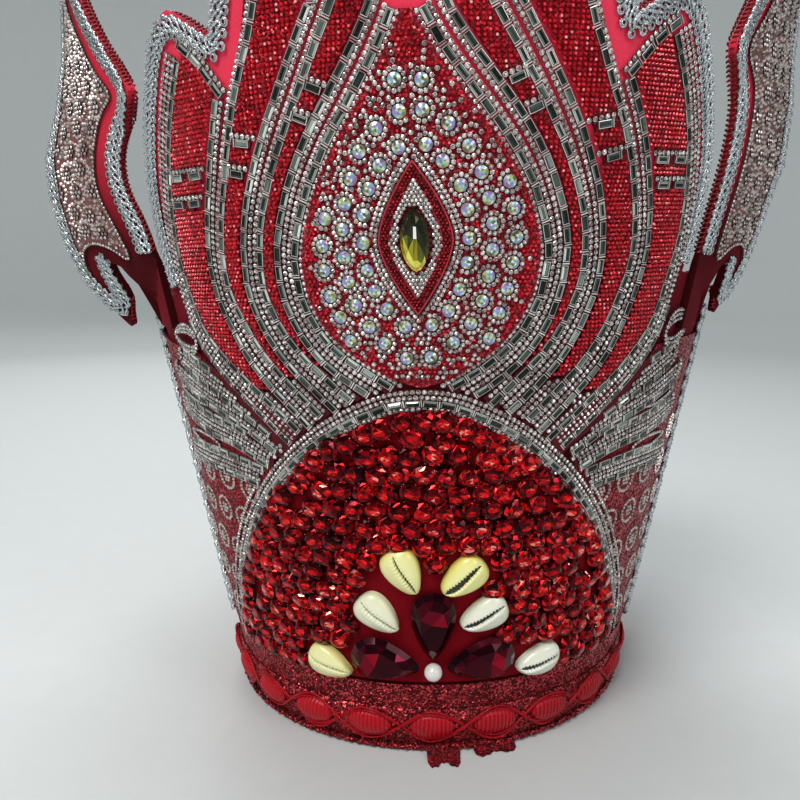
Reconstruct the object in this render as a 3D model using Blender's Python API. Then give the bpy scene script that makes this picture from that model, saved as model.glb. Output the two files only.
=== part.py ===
"""Orisha crown: a felt head crown with a tall flame-edged front panel, two side wings,
jewelled trims, a gem arch, cowrie shells and a braided foot.

Everything lies on the outer face of a flared round wall, so places are given there as
(angle, height): the angle in degrees from the middle of the front, positive towards +X, and
the height in millimetres above the floor. The front faces -Y and +Z is up. Sizes are in
millimetres and become metres when a mesh is made.
"""
import math

import bmesh
import bpy
from mathutils import Vector
from mathutils.geometry import delaunay_2d_cdt

MM = 0.001
SEAT_GAP = 0.3

# Felt wall
RIM_RADIUS = 95.0
FLARE = 0.19
WALL_THICK = 4.0
WALL_CELL = (5.0, 50.0)
PLATE_CELL = (4.0, 20.0)
CURVE_STEP = 3.0
TURN_SHARE = 0.95

# The panel was cut by hand: its left side sits lower, and the eye leans to the left
CUT_SLOPE = 0.043
EYE_LEAN = 0.012
EYE_LEAN_FOOT = 170.0
EYE_LEAN_ANGLE = 14.0
LEAN_FROM, LEAN_FULL = 150.0, 210.0
LEAN_SIDE_FROM, LEAN_SIDE_END = 52.0, 74.0

# Trims
TRIM_WIDTH = 4.9
TRIM_THICK = 1.8
BAND_HALF = 2.65
MESH_THICK = 1.1
MESH_MARGIN = 0.6
MESH_ROWS = 18
BRAID_WIDTH = 6.0
BRAID_THICK = 2.0
BRAID_INSET = 2.7
BRAID_FOOT = 206.0
BACK_BRAID_FROM = 76.0
GIMP_WIDTH = 5.0
GIMP_THICK = 2.0
GIMP_INSET = 1.4
SIDE_BRAID_WIDTH = 13.0
SIDE_BRAID_ANGLE = 77.5
SIDE_BRAID_FOOT, SIDE_BRAID_TOP = 35.0, 188.0
LACE_THICK = 1.2
LACE_TOP = 176.0

# Foot
HEM_FOOT, HEM_TOP, HEM_THICK = 0.5, 33.0, 1.0
HEM_COLUMNS = 60
GIMP_FOOT, GIMP_TOP = 1.2, 21.0
MEDALLIONS = 23
MEDALLION_COLUMNS = 4
FOOT_BRAID_THIN, FOOT_BRAID_PAD = 2.0, 1.8
FOOT_BRAID_BEVEL = 4.0

# Gem arch
ARCH_PLATE = 1.5
ARCH_MARGIN = 3.2
ARCH_FOOT = 35.0
GEM_ANGLE_PITCH = 5.0
GEM_HEIGHT_PITCH = 11.0
GEM_FIRST_HEIGHT = 42.0
GEM_HALF_WIDTH, GEM_HALF_HEIGHT = 4.4, 4.9
GEM_RISE = 4.2
GEM_TABLE = 0.62
GEM_CLEAR_OF_TRIM = 8.2

# Eye
EYE_PLATE = 1.4
EYE_FOOT = 163.0
LOZENGE_THICK = 1.8
LOZENGE_HALF_WIDTH, LOZENGE_HALF_HEIGHT = 12.2, 25.0
LOZENGE_PLACE = (-0.1, 215.0)
EYE_STONE_HALF = (5.3, 10.6)
EYE_STONE_HEIGHT = 4.6

# Shell and drop cluster
CLUSTER_PLACE = (2.1, 39.0)
PEARL_RADIUS = 4.1
DROP_LENGTH, DROP_WIDTH, DROP_HEIGHT = 28.5, 18.6, 7.0
DROP_REACH = 4.8
COWRIE_LENGTH, COWRIE_WIDTH, COWRIE_HEIGHT = 21.5, 14.6, 7.4

# Wings
WING_THICK = 3.0
WING_LACE_THICK = 1.2
WING_GAP = 0.5
WING_CELL = (3.0, 15.0)
WING_BACK_ANGLE = 70.0

# Right half of the panel's free edge; the left half mirrors it
# columns: angle, height
FLAME_EDGE = [
    (0.0, 382.0), (4.4, 362.0), (8.6, 335.0), (12.0, 312.0),
    (14.8, 326.0), (19.5, 352.0), (23.4, 326.0), (25.4, 305.0), (28.0, 284.0),
    (31.4, 290.0), (35.2, 297.0), (39.6, 290.0), (43.6, 274.0), (47.0, 259.0),
    (49.7, 245.0), (51.0, 232.0), (51.3, 219.0), (51.0, 208.0), (50.2, 199.5),
]
# Angles of the edge's sharp corners
FLAME_CORNERS = (0.0, 12.0, 19.5, 28.0, 35.2)
# columns: angle, height
SIDE_EDGE = [
    (50.2, 199.5), (54.0, 198.5), (62.0, 201.0), (72.0, 204.0), (84.0, 199.0), (95.0, 194.0),
    (108.0, 201.0), (120.0, 206.0), (134.0, 200.0), (148.0, 196.0), (164.0, 206.0), (180.0, 212.0),
]

# Middle line of each double band on the right half, from its top to the arch
# columns: angle, height
BAND_LINES = {
    "a": [(2.9, 287.0), (5.3, 276.0), (9.0, 263.0), (13.6, 248.0), (17.6, 231.5), (20.2, 213.5),
          (20.3, 202.0), (19.4, 191.5), (16.7, 179.5), (12.5, 170.0), (6.0, 160.5)],
    "b": [(11.0, 291.0), (15.0, 274.5), (18.7, 259.5), (22.7, 242.5), (26.2, 223.0), (27.5, 203.5),
          (26.2, 190.0), (22.0, 173.5), (12.0, 152.0)],
    "c": [(28.6, 264.0), (33.0, 241.5), (36.0, 220.0), (36.6, 203.0), (34.7, 188.5),
          (30.6, 172.5), (20.0, 148.0)],
    "d": [(37.9, 282.0), (42.7, 262.0), (46.0, 243.0), (48.2, 221.0), (48.0, 203.0),
          (45.4, 182.5), (40.0, 168.5), (33.5, 156.0), (26.0, 142.0)],
}
# How the trims run on above their band, up the flames
# columns: angle, height
TRIM_TOPS = {
    ("a", 1): [(2.1, 340.0), (2.3, 318.0), (3.3, 299.0)],
    ("b", -1): [(5.2, 334.0), (6.7, 320.0), (8.7, 305.0)],
    ("b", 1): [(17.7, 318.0), (16.1, 309.0), (14.3, 299.0)],
    ("c", -1): [(20.6, 317.0), (21.8, 301.0), (23.8, 284.0)],
}
# The outer trim of the last band starts below the wing
OUTER_TRIM_TOP = 190.0
SLOPE_TRIM = [(29.0, 272.5), (32.0, 279.5), (35.0, 285.0)]
# Baguette line of the arch, right half, top to foot
ARCH_LINE = [(0.0, 157.2), (5.0, 156.0), (10.7, 151.0), (17.2, 143.0), (23.3, 133.0),
             (29.4, 121.0), (37.7, 101.0), (45.6, 77.0), (51.4, 55.0), (54.0, 35.5)]

# columns: inner line, outer line, upper end, lower end
MESH_STRIPS = {
    "mesh_inner": (("a", 1), ("b", -1), 331.0, 171.0),
    "mesh_middle": (("b", 1), ("c", -1), 313.0, 166.0),
    "mesh_outer": (("c", 1), ("d", -1), 264.0, 160.0),
}

# Cowries: angle, height, turn of the long axis in degrees
COWRIES = [
    (-23.1, 39.8, -22.0), (-9.9, 67.2, -45.0), (-4.1, 86.5, -66.0),
    (8.6, 83.4, 32.0), (13.7, 65.1, 30.0), (28.6, 39.0, 12.0),
]
# Drops: name, direction from the pearl in degrees
DROPS = [("drop_upper", 90.0), ("drop_left", 172.0), ("drop_right", 8.0)]

# Wing edges: angle, height, from the foot of the front edge over the tip to the hook
WINGS = {
    "left": {
        "front": [(52.8, 207.0), (53.4, 222.0), (55.2, 240.0), (53.6, 256.0), (47.6, 270.0),
                  (51.4, 284.0), (55.6, 300.0), (59.6, 317.0)],
        "tip": (64.0, 338.0),
        "rear": [(69.2, 312.0), (71.4, 285.0), (72.0, 255.0), (72.0, 225.0), (71.4, 202.0)],
        "hook": (67.2, 179.0),
        "arch": [(64.0, 196.0), (62.6, 209.0), (60.6, 207.0)],
    },
    "right": {
        "front": [(52.8, 207.0), (53.2, 224.0), (53.8, 244.0), (52.8, 268.0), (47.6, 285.0),
                  (50.6, 300.0), (54.4, 318.0), (59.0, 338.0)],
        "tip": (63.6, 358.0),
        "rear": [(69.4, 328.0), (71.4, 298.0), (72.0, 262.0), (72.0, 228.0), (71.4, 206.0)],
        "hook": (67.2, 185.0),
        "arch": [(64.0, 199.0), (62.6, 209.0), (60.6, 207.0)],
    },
}
WING_TAB = [(60.2, 200.0), (60.2, 181.0), (52.8, 181.0)]
# How far the wing's back edge stands off the wall's cone: height, left, right
WING_STAND = [
    (160.0, 9.0, 2.0), (175.0, 14.0, 4.5), (187.0, 19.5, 6.0), (202.0, 24.0, 9.0), (217.0, 26.5, 11.0),
    (234.0, 27.0, 12.0), (250.0, 25.0, 13.5), (273.0, 15.5, 11.0), (292.0, 9.0, 7.0),
    (314.0, 4.0, 4.5), (340.0, 1.0, 3.0), (400.0, 0.0, 3.0),
]
WING_HINGE_LOW, WING_HINGE_HIGH = (190.0, 60.0), (212.0, 52.0)
WING_LACE = [(57.4, 222.0), (59.4, 246.0), (58.2, 268.0), (58.0, 290.0), (61.0, 309.0),
             (66.2, 298.0), (68.4, 270.0), (69.0, 240.0), (68.6, 212.0), (64.6, 214.0)]

# colour, roughness, metallic
COLOURS = {
    "felt": ((0.55, 0.02, 0.03), 0.9, 0.0),
    "silver_braid": ((0.62, 0.65, 0.67), 0.35, 0.9),
    "red_gimp": ((0.20, 0.005, 0.01), 0.5, 0.0),
    "foot_gimp": ((0.40, 0.01, 0.03), 0.6, 0.0),
    "glitter_cloth": ((0.30, 0.01, 0.02), 0.4, 0.3),
    "rhinestone_trim": ((0.75, 0.77, 0.78), 0.15, 0.6),
    "red_mesh": ((0.45, 0.01, 0.02), 0.3, 0.2),
    "red_gem": ((0.50, 0.0, 0.01), 0.05, 0.2),
    "garnet_drop": ((0.12, 0.0, 0.01), 0.05, 0.1),
    "eye_stone": ((0.35, 0.40, 0.02), 0.05, 0.2),
    "cowrie_shell": ((0.88, 0.86, 0.62), 0.3, 0.0),
    "pearl": ((0.90, 0.88, 0.84), 0.2, 0.0),
}


def clear_scene():
    """Remove every object, so that the script can run again."""
    for item in list(bpy.data.objects):
        bpy.data.objects.remove(item, do_unlink=True)


def make_material(name):
    """Return the Principled material of one finish."""
    material = bpy.data.materials.get(name)
    if material:
        return material
    colour, roughness, metallic = COLOURS[name]
    material = bpy.data.materials.new(name)
    material.use_nodes = True
    shader = material.node_tree.nodes["Principled BSDF"]
    shader.inputs["Base Color"].default_value = (*colour, 1.0)
    shader.inputs["Roughness"].default_value = roughness
    shader.inputs["Metallic"].default_value = metallic
    return material


def make_object(name, finish, points, faces):
    """Make one closed object from points in millimetres."""
    mesh = bpy.data.meshes.new(name)
    mesh.from_pydata([tuple(c * MM for c in p) for p in points], [], faces)
    mesh.validate()
    work = bmesh.new()
    work.from_mesh(mesh)
    bmesh.ops.remove_doubles(work, verts=work.verts, dist=0.01 * MM)
    bmesh.ops.recalc_face_normals(work, faces=work.faces)
    work.to_mesh(mesh)
    work.free()
    mesh.materials.append(make_material(finish))
    item = bpy.data.objects.new(name, mesh)
    bpy.context.scene.collection.objects.link(item)
    return item


def blend(t):
    """Smooth step from 0 to 1."""
    t = min(1.0, max(0.0, t))
    return t * t * (3.0 - 2.0 * t)


def table_value(table, key, column):
    """Read a column of a table sorted by its first column, with straight lines between rows."""
    for low, high in zip(table, table[1:]):
        if key <= high[0]:
            t = max(0.0, (key - low[0]) / (high[0] - low[0]))
            return low[column] + t * (high[column] - low[column])
    return table[-1][column]


def wall_radius(height):
    """Outer radius of the wall at a height."""
    return RIM_RADIUS + FLARE * height


def arc_mm(height):
    """Millimetres along the wall for one degree at a height."""
    return math.radians(wall_radius(height))


def hand_cut(angle, height):
    """Move a place of the even design to where the hand-cut panel has it."""
    ramp = blend((height - LEAN_FROM) / (LEAN_FULL - LEAN_FROM))
    ramp *= 1.0 - blend((abs(angle) - LEAN_SIDE_FROM) / (LEAN_SIDE_END - LEAN_SIDE_FROM))
    lean = EYE_LEAN * max(0.0, height - EYE_LEAN_FOOT)
    lean *= math.exp(-(angle / EYE_LEAN_ANGLE) ** 2)
    return angle - lean, height + CUT_SLOPE * angle * arc_mm(height) * ramp


def wall_point(angle, height, lift=0.0):
    """Point on the wall's outer face, lifted off it along the radius."""
    turn = math.radians(angle)
    radius = wall_radius(height) + lift
    return Vector((radius * math.sin(turn), -radius * math.cos(turn), height))


def panel_point(angle, height, lift=0.0):
    """Point of the front design on the wall, with the hand-cut lean."""
    return wall_point(*hand_cut(angle, height), lift)


def wing_stand(side, angle, height):
    """How far the wing's inner face stands off the wall."""
    column = 1 if side == "left" else 2
    low, high = WING_HINGE_LOW, WING_HINGE_HIGH
    hinge = low[1] + (high[1] - low[1]) * blend((height - low[0]) / (high[0] - low[0]))
    reach = max(0.0, (abs(angle) - hinge) / (WING_BACK_ANGLE - hinge))
    return table_value(WING_STAND, height, column) * reach


def wing_place(side):
    """Return the function that gives points on a wing's inner face."""
    def base(angle, height):
        turn = math.radians(angle)
        radius = wall_radius(height) + wing_stand(side, angle, height)
        return Vector((radius * math.sin(turn), -radius * math.cos(turn), height))

    def place(angle, height, lift=0.0):
        step = 0.4
        across = base(angle + step, height) - base(angle - step, height)
        up = base(angle, height + step) - base(angle, height - step)
        return base(angle, height) + across.cross(up).normalized() * lift
    return place


def spline(points, step=CURVE_STEP):
    """Smooth curve through places, sampled about every step millimetres."""
    count = len(points)
    curve = []
    for i in range(count - 1):
        before = points[max(i - 1, 0)]
        start, end = points[i], points[i + 1]
        after = points[min(i + 2, count - 1)]
        length = math.hypot((end[0] - start[0]) * arc_mm(start[1]), end[1] - start[1])
        pieces = max(1, round(length / step))
        for j in range(pieces):
            t = j / pieces
            curve.append(tuple(
                0.5 * (2 * start[k] + (end[k] - before[k]) * t
                       + (2 * before[k] - 5 * start[k] + 4 * end[k] - after[k]) * t * t
                       + (3 * start[k] - before[k] - 3 * end[k] + after[k]) * t ** 3)
                for k in (0, 1)))
    curve.append(points[-1])
    return curve


def soften(curve, rounds):
    """Round the corners of an open curve, with its ends kept."""
    for _ in range(rounds):
        inner = [tuple(0.25 * a[k] + 0.5 * b[k] + 0.25 * c[k] for k in (0, 1))
                 for a, b, c in zip(curve, curve[1:], curve[2:])]
        curve = [curve[0]] + inner + [curve[-1]]
    return curve


def thin_out(curve, tolerance, longest):
    """Drop points that lie near the chord of their neighbours."""
    kept = [curve[0]]
    start = 0
    for i in range(2, len(curve)):
        ax, ay = kept[-1]
        scale = arc_mm(ay)
        dx, dy = (curve[i][0] - ax) * scale, curve[i][1] - ay
        length = math.hypot(dx, dy) or 1e-9
        off = max(abs((p[0] - ax) * scale * dy - (p[1] - ay) * dx) / length
                  for p in curve[start + 1:i])
        if off > tolerance or length > longest:
            kept.append(curve[i - 1])
            start = i - 1
    kept.append(curve[-1])
    return kept


def shift_line(curve, offset):
    """Move a curve sideways, to the right of its direction, by millimetres."""
    moved = []
    last = len(curve) - 1
    for i, (angle, height) in enumerate(curve):
        before, after = curve[max(i - 1, 0)], curve[min(i + 1, last)]
        scale = arc_mm(height)
        dx, dy = (after[0] - before[0]) * scale, after[1] - before[1]
        length = math.hypot(dx, dy) or 1e-9
        moved.append((angle + offset * dy / length / scale, height - offset * dx / length))
    return moved


def shift_corners(points, offset):
    """Move a cornered line to the right of its direction, with mitred corners."""
    moved = []
    for i, (angle, height) in enumerate(points):
        scale = arc_mm(height)
        normals = []
        for a, b in ((points[i - 1] if i else None, points[i]),
                     (points[i], points[i + 1] if i + 1 < len(points) else None)):
            if a is None or b is None:
                continue
            dx, dy = (b[0] - a[0]) * scale, b[1] - a[1]
            length = math.hypot(dx, dy)
            normals.append((dy / length, -dx / length))
        nx = sum(n[0] for n in normals) / len(normals)
        ny = sum(n[1] for n in normals) / len(normals)
        size = max(nx * nx + ny * ny, 0.12)
        moved.append((angle + offset * nx / size / scale, height + offset * ny / size))
    return moved


def cornered_spline(points, corners, rounds):
    """Smooth curve that breaks at the corner points, which are then rounded a little."""
    curve = []
    start = 0
    for i, point in enumerate(points):
        if 0 < i < len(points) - 1 and point in corners:
            curve += spline(points[start:i + 1])[:-1]
            start = i
    curve += spline(points[start:])
    return soften(curve, rounds)


def ease_turns(curve, radius):
    """Smooth a curve where it turns more sharply than a radius."""
    points = [Vector((a * arc_mm(h), h)) for a, h in curve]
    for _ in range(80):
        tight = set()
        for i in range(1, len(points) - 1):
            before, after = points[i] - points[i - 1], points[i + 1] - points[i]
            turn = abs(before.angle_signed(after, 0.0))
            if turn > 0.5 * (before.length + after.length) / radius:
                tight.update(range(max(1, i - 2), min(len(points) - 1, i + 3)))
        if not tight:
            break
        points = [0.25 * points[i - 1] + 0.5 * p + 0.25 * points[i + 1] if i in tight else p
                  for i, p in enumerate(points)]
    return [(p.x / arc_mm(p.y), p.y) for p in points]


def divided(outline, step):
    """Closed outline whose edges span at most a step in angle."""
    result = []
    for start, end in zip(outline, outline[1:] + outline[:1]):
        pieces = max(1, math.ceil(abs(end[0] - start[0]) / step - 0.01))
        if abs(end[0] - start[0]) > 180.0:
            pieces = 1
        result += [(start[0] + (end[0] - start[0]) * i / pieces,
                    start[1] + (end[1] - start[1]) * i / pieces) for i in range(pieces)]
    return result


def height_at(curve, height):
    """Angle of a curve that runs down, at a height."""
    for above, below in zip(curve, curve[1:]):
        if below[1] <= height <= above[1]:
            t = (above[1] - height) / max(1e-9, above[1] - below[1])
            return above[0] + t * (below[0] - above[0])
    return curve[0][0] if height > curve[0][1] else curve[-1][0]


def inside(point, outline):
    """Tell whether a place lies inside a closed outline."""
    x, y = point
    hit = False
    for (ax, ay), (bx, by) in zip(outline, outline[1:] + outline[:1]):
        if (ay > y) != (by > y) and x < (bx - ax) * (y - ay) / (by - ay) + ax:
            hit = not hit
    return hit


def away_from(point, outline, scale, distance):
    """Tell whether a place keeps a distance from every corner of an outline."""
    return all(math.hypot((point[0] - a) * scale, point[1] - h) > distance for a, h in outline)


def triangulate(outline, inner_points, inner_loops, scale):
    """Triangles of a flat outline in (angle * scale, height), with loops kept as edges."""
    flat = [Vector((a * scale[0], h * scale[1])) for a, h in outline]
    edges = [(i, (i + 1) % len(outline)) for i in range(len(outline))]
    for loop in inner_loops:
        base = len(flat)
        flat += [Vector((a * scale[0], h * scale[1])) for a, h in loop]
        edges += [(base + i, base + (i + 1) % len(loop)) for i in range(len(loop))]
    flat += [Vector((a * scale[0], h * scale[1])) for a, h in inner_points]
    result = delaunay_2d_cdt(flat, edges, [], 1, 1e-4)
    places = [(p.x / scale[0], p.y / scale[1]) for p in result[0]]
    return places, [tuple(f) for f in result[2]]


def grid_points(outline, angle_step, height_step):
    """Grid places inside an outline, clear of its edge."""
    angles, heights = [a for a, _ in outline], [h for _, h in outline]
    scale = arc_mm(sum(heights) / len(heights))
    found = []
    for i in range(math.ceil(min(angles) / angle_step), math.floor(max(angles) / angle_step) + 1):
        for j in range(math.ceil(min(heights) / height_step),
                       math.floor(max(heights) / height_step) + 1):
            place = (i * angle_step, j * height_step)
            if inside(place, outline) and away_from(place, outline, scale, 0.4 * angle_step * scale):
                found.append(place)
    return found


def plate(name, finish, outline, place, low, high, cell=PLATE_CELL, seam=None):
    """Make a sheet of even thickness from its outline on a face."""
    outline = divided(outline, cell[0])
    grid = grid_points(outline, *cell)
    places, faces = triangulate(outline, grid, [], (1.0, cell[0] / cell[1]))
    count = len(places)
    points = [place(a, h, high) for a, h in places] + [place(a, h, low) for a, h in places]
    solid = list(faces) + [tuple(i + count for i in reversed(f)) for f in faces]
    used = {}
    for face in faces:
        for a, b in zip(face, face[1:] + face[:1]):
            used[(a, b)] = True
    for a, b in used:
        at_seam = seam and abs(places[a][0]) > seam and abs(places[b][0]) > seam
        if (b, a) not in used and not at_seam:
            solid.append((b, a, a + count, b + count))
    return make_object(name, finish, points, solid)


def strip(name, finish, line, place, width, low, high, shift=0.0):
    """Make a flat ribbon of even width along a line on a face."""
    left = shift_line(line, shift - width / 2)
    right = shift_line(line, shift + width / 2)
    points, faces = [], []
    for a, b in zip(left, right):
        points += [place(*a, low), place(*b, low), place(*b, high), place(*a, high)]
    last = len(line) - 1
    for i in range(last):
        for j in range(4):
            k = (j + 1) % 4
            faces.append((4 * i + j, 4 * i + k, 4 * i + 4 + k, 4 * i + 4 + j))
    faces += [(3, 2, 1, 0), (4 * last, 4 * last + 1, 4 * last + 2, 4 * last + 3)]
    return make_object(name, finish, points, faces)


def ring(name, finish, columns, section):
    """Make a closed ring round the wall; section(column) lists its (lift, height) corners."""
    points, faces = [], []
    size = len(section(0))
    for i in range(columns):
        points += [wall_point(360.0 * i / columns, h, lift) for lift, h in section(i)]
        following = (i + 1) % columns
        for j in range(size):
            k = (j + 1) % size
            faces.append((size * i + j, size * i + k, size * following + k, size * following + j))
    return make_object(name, finish, points, faces)


def frame_at(angle, height, lift, turn=0.0):
    """Origin and axes of a flat thing laid on the wall: long axis, short axis, outward."""
    origin = wall_point(angle, height, lift)
    across = Vector((math.cos(math.radians(angle)), math.sin(math.radians(angle)), 0.0))
    up = (wall_point(angle, height + 1.0) - wall_point(angle, height - 1.0)).normalized()
    out = across.cross(up).normalized()
    c, s = math.cos(math.radians(turn)), math.sin(math.radians(turn))
    return origin, across * c + up * s, up * c - across * s, out


def stacked(name, finish, frame, levels, outline):
    """Make a closed form from copies of an outline: levels are (scale, height above the seat)."""
    origin, along, aside, out = frame
    size = len(outline)
    points, faces = [], []
    for scale, rise in levels:
        points += [origin + along * x * scale + aside * y * scale + out * rise for x, y in outline]
    for i in range(len(levels) - 1):
        for j in range(size):
            k = (j + 1) % size
            faces.append((size * i + j, size * i + k, size * i + size + k, size * i + size + j))
    faces.append(tuple(reversed(range(size))))
    top = size * (len(levels) - 1)
    faces.append(tuple(range(top, top + size)))
    return make_object(name, finish, points, faces)


def oval(half_length, half_width, count, pointed=0.0, egg=0.0):
    """Outline of an oval; pointed draws its ends out, egg makes one end wider."""
    outline = []
    for i in range(count):
        t = 2.0 * math.pi * i / count
        x, y = math.cos(t), math.sin(t)
        y *= abs(y) ** pointed * (1.0 + egg * x)
        outline.append((half_length * x, half_width * y))
    return outline


def drop_outline(length, width, count):
    """Outline of a pear cut, its point at the origin and its round end at +X."""
    outline = []
    for i in range(count):
        t = 2.0 * math.pi * i / count
        x = 0.5 - 0.5 * math.cos(t)
        y = 0.5 * math.sin(t) * (0.36 + 0.64 * x) * 1.16
        outline.append((length * x, -width * y))
    return outline


def band_trim(band, side):
    """Middle line of one trim of a band, top to foot; side 1 is its outer trim."""
    line = spline(BAND_LINES[band])
    moved = shift_line(line, -side * (BAND_HALF + 0.15))
    top = TRIM_TOPS.get((band, side))
    if top:
        moved = soften(spline(top + moved[::3]), 2)
    return moved


def clear_of_arch(line, arch, distance):
    """Cut the foot of a line where its edges come near the arch."""
    kept = []
    for left, centre, right in zip(shift_line(line, -TRIM_WIDTH / 2), line,
                                   shift_line(line, TRIM_WIDTH / 2)):
        near = min(math.hypot((p[0] - a) * arc_mm(h), p[1] - h)
                   for p in (left, right) for a, h in arch)
        if centre[1] < 200.0 and near < distance:
            break
        kept.append(centre)
    return kept


def clear_of_middle(line, distance):
    """Drop the top points that come nearer to the middle than a distance."""
    return [p for p in line if abs(p[0]) * arc_mm(p[1]) > distance]


def build_wall():
    """The flared felt wall: tall flames in front, a low wavy edge behind."""
    flames = cornered_spline(FLAME_EDGE, [p for p in FLAME_EDGE if p[0] in FLAME_CORNERS], 2)
    flames = thin_out(flames, 0.5, 14.0)
    side = thin_out(spline(SIDE_EDGE), 0.6, 11.0)
    right = flames + side[1:]
    top = [(-a, h) for a, h in reversed(right)] + right[1:]
    top = [hand_cut(a, h) for a, h in top]
    columns = round(180.0 / WALL_CELL[0])
    foot = [(i * WALL_CELL[0], 0.0) for i in range(-columns, columns + 1)]
    seam = [50.0, 100.0, 150.0, 200.0]
    outline = foot + [(180.0, h) for h in seam] + list(reversed(top))
    outline += [(-180.0, h) for h in reversed(seam)]
    plate("crown_wall", "felt", outline, wall_point, -WALL_THICK, 0.0, cell=WALL_CELL, seam=179.9)


def panel_edge(inset, rounds):
    """Line that follows the flames' edge at an inset, from the left foot to the right foot."""
    edge = [(-a, h) for a, h in reversed(FLAME_EDGE)] + FLAME_EDGE[1:]
    corners = [abs(a) in FLAME_CORNERS for a, _ in edge]
    moved = shift_corners(edge, inset)
    return cornered_spline(moved, [p for p, c in zip(moved, corners) if c], rounds)


def build_edges():
    """Silver braid on the edge's outer face, dark gimp on its inner face, braid round the back."""
    braid = ease_turns(panel_edge(BRAID_INSET, 3), TURN_SHARE * BRAID_WIDTH)
    braid = thin_out([p for p in braid if p[1] > BRAID_FOOT], 0.4, 14.0)
    strip("front_braid", "silver_braid", braid, panel_point, BRAID_WIDTH, SEAT_GAP, SEAT_GAP + BRAID_THICK)
    gimp = ease_turns(panel_edge(GIMP_INSET, 3), TURN_SHARE * GIMP_WIDTH)
    gimp = thin_out(gimp, 0.4, 14.0)
    inner = -WALL_THICK - SEAT_GAP
    strip("front_gimp", "red_gimp", gimp, panel_point, GIMP_WIDTH, inner - GIMP_THICK, inner)
    side = [p for p in spline(SIDE_EDGE) if p[0] > BACK_BRAID_FROM]
    back = side + [(360.0 - a, h) for a, h in reversed(side[:-1])]
    back = thin_out(shift_line(back, BRAID_INSET), 0.5, 10.0)
    strip("back_braid", "silver_braid", back, wall_point, BRAID_WIDTH, SEAT_GAP, SEAT_GAP + BRAID_THICK)


def build_bands(arch):
    """Rhinestone trims of the bands, both halves, and the slanted ones of the outer flames."""
    for band in BAND_LINES:
        for side, label in ((-1, "inner"), (1, "outer")):
            line = clear_of_arch(band_trim(band, side), arch, 4.4)
            if (band, side) == ("a", -1):
                line = clear_of_middle(line, 3.4)
            if (band, side) == ("d", 1):
                line = [p for p in line if p[1] < OUTER_TRIM_TOP]
            line = thin_out(line, 0.4, 16.0)
            for mirror, half in ((1, "right"), (-1, "left")):
                strip(f"trim_{band}_{label}_{half}", "rhinestone_trim",
                      [(mirror * a, h) for a, h in line], panel_point, TRIM_WIDTH,
                      SEAT_GAP, SEAT_GAP + TRIM_THICK)
    for mirror, half in ((1, "right"), (-1, "left")):
        strip(f"trim_slope_{half}", "rhinestone_trim", [(mirror * a, h) for a, h in SLOPE_TRIM],
              panel_point, TRIM_WIDTH, SEAT_GAP, SEAT_GAP + TRIM_THICK)


def build_meshes():
    """Red bead mesh between the bands."""
    margin = TRIM_WIDTH / 2 + MESH_MARGIN
    for name, (inner, outer, top, foot) in MESH_STRIPS.items():
        near = shift_line(band_trim(*inner), -margin)
        far = shift_line(band_trim(*outer), margin)
        heights = [foot + (top - foot) * i / MESH_ROWS for i in range(MESH_ROWS + 1)]
        rows = [(height_at(near, h), height_at(far, h), h) for h in heights]
        rows = [r for r in rows if (r[1] - r[0]) * arc_mm(r[2]) > 1.6]
        for mirror, half in ((1, "right"), (-1, "left")):
            outline = [(mirror * a, h) for a, _, h in rows] + [(mirror * b, h) for _, b, h in reversed(rows)]
            plate(f"{name}_{half}", "red_mesh", outline, panel_point, SEAT_GAP, SEAT_GAP + MESH_THICK,
                  cell=(4.0, 20.0))


def build_sides(arch):
    """Jewelled lace between the bands and the side braids, and the side braids."""
    outer = shift_line(band_trim("d", 1), -(TRIM_WIDTH / 2 + MESH_MARGIN))
    band_part = [p for p in outer if 150.0 < p[1] < LACE_TOP]
    arch_part = [p for p in shift_line(arch, -4.6) if p[1] < 128.0]
    edge = thin_out(band_part + arch_part, 0.4, 12.0)
    far = []
    for i in range(9):
        height = ARCH_FOOT + (LACE_TOP - ARCH_FOOT) * i / 8
        reach = (SIDE_BRAID_WIDTH / 2 + MESH_MARGIN) / arc_mm(height)
        far.append((SIDE_BRAID_ANGLE - reach, height))
    for mirror, half in ((1, "right"), (-1, "left")):
        outline = [(mirror * a, h) for a, h in edge + far]
        plate(f"side_lace_{half}", "rhinestone_trim", outline, panel_point, SEAT_GAP,
              SEAT_GAP + LACE_THICK, cell=(4.0, 20.0))
        foot, top = SIDE_BRAID_FOOT, SIDE_BRAID_TOP
        rows = [(side * SIDE_BRAID_WIDTH / 2, h) for side, h in ((-1, foot), (1, foot), (1, top), (-1, top))]
        braid = [(mirror * SIDE_BRAID_ANGLE + x / arc_mm(h), h) for x, h in rows]
        plate(f"side_braid_{half}", "silver_braid", braid, wall_point, SEAT_GAP, SEAT_GAP + BRAID_THICK,
              cell=(4.0, 200.0))


def build_foot():
    """Glitter cloth round the foot and the padded gimp braid over it."""
    cloth = [(SEAT_GAP, HEM_FOOT), (SEAT_GAP + HEM_THICK, HEM_FOOT),
             (SEAT_GAP + HEM_THICK, HEM_TOP), (SEAT_GAP, HEM_TOP)]
    ring("foot_cloth", "glitter_cloth", HEM_COLUMNS, lambda column: cloth)
    seat = 2 * SEAT_GAP + HEM_THICK

    def section(column):
        phase = 2.0 * math.pi * column / MEDALLION_COLUMNS
        rise = seat + FOOT_BRAID_THIN + FOOT_BRAID_PAD * (0.5 + 0.5 * math.cos(phase))
        return [(seat, GIMP_FOOT), (rise, GIMP_FOOT + FOOT_BRAID_BEVEL),
                (rise, GIMP_TOP - FOOT_BRAID_BEVEL), (seat, GIMP_TOP)]
    ring("foot_braid", "foot_gimp", MEDALLIONS * MEDALLION_COLUMNS, section)


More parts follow.
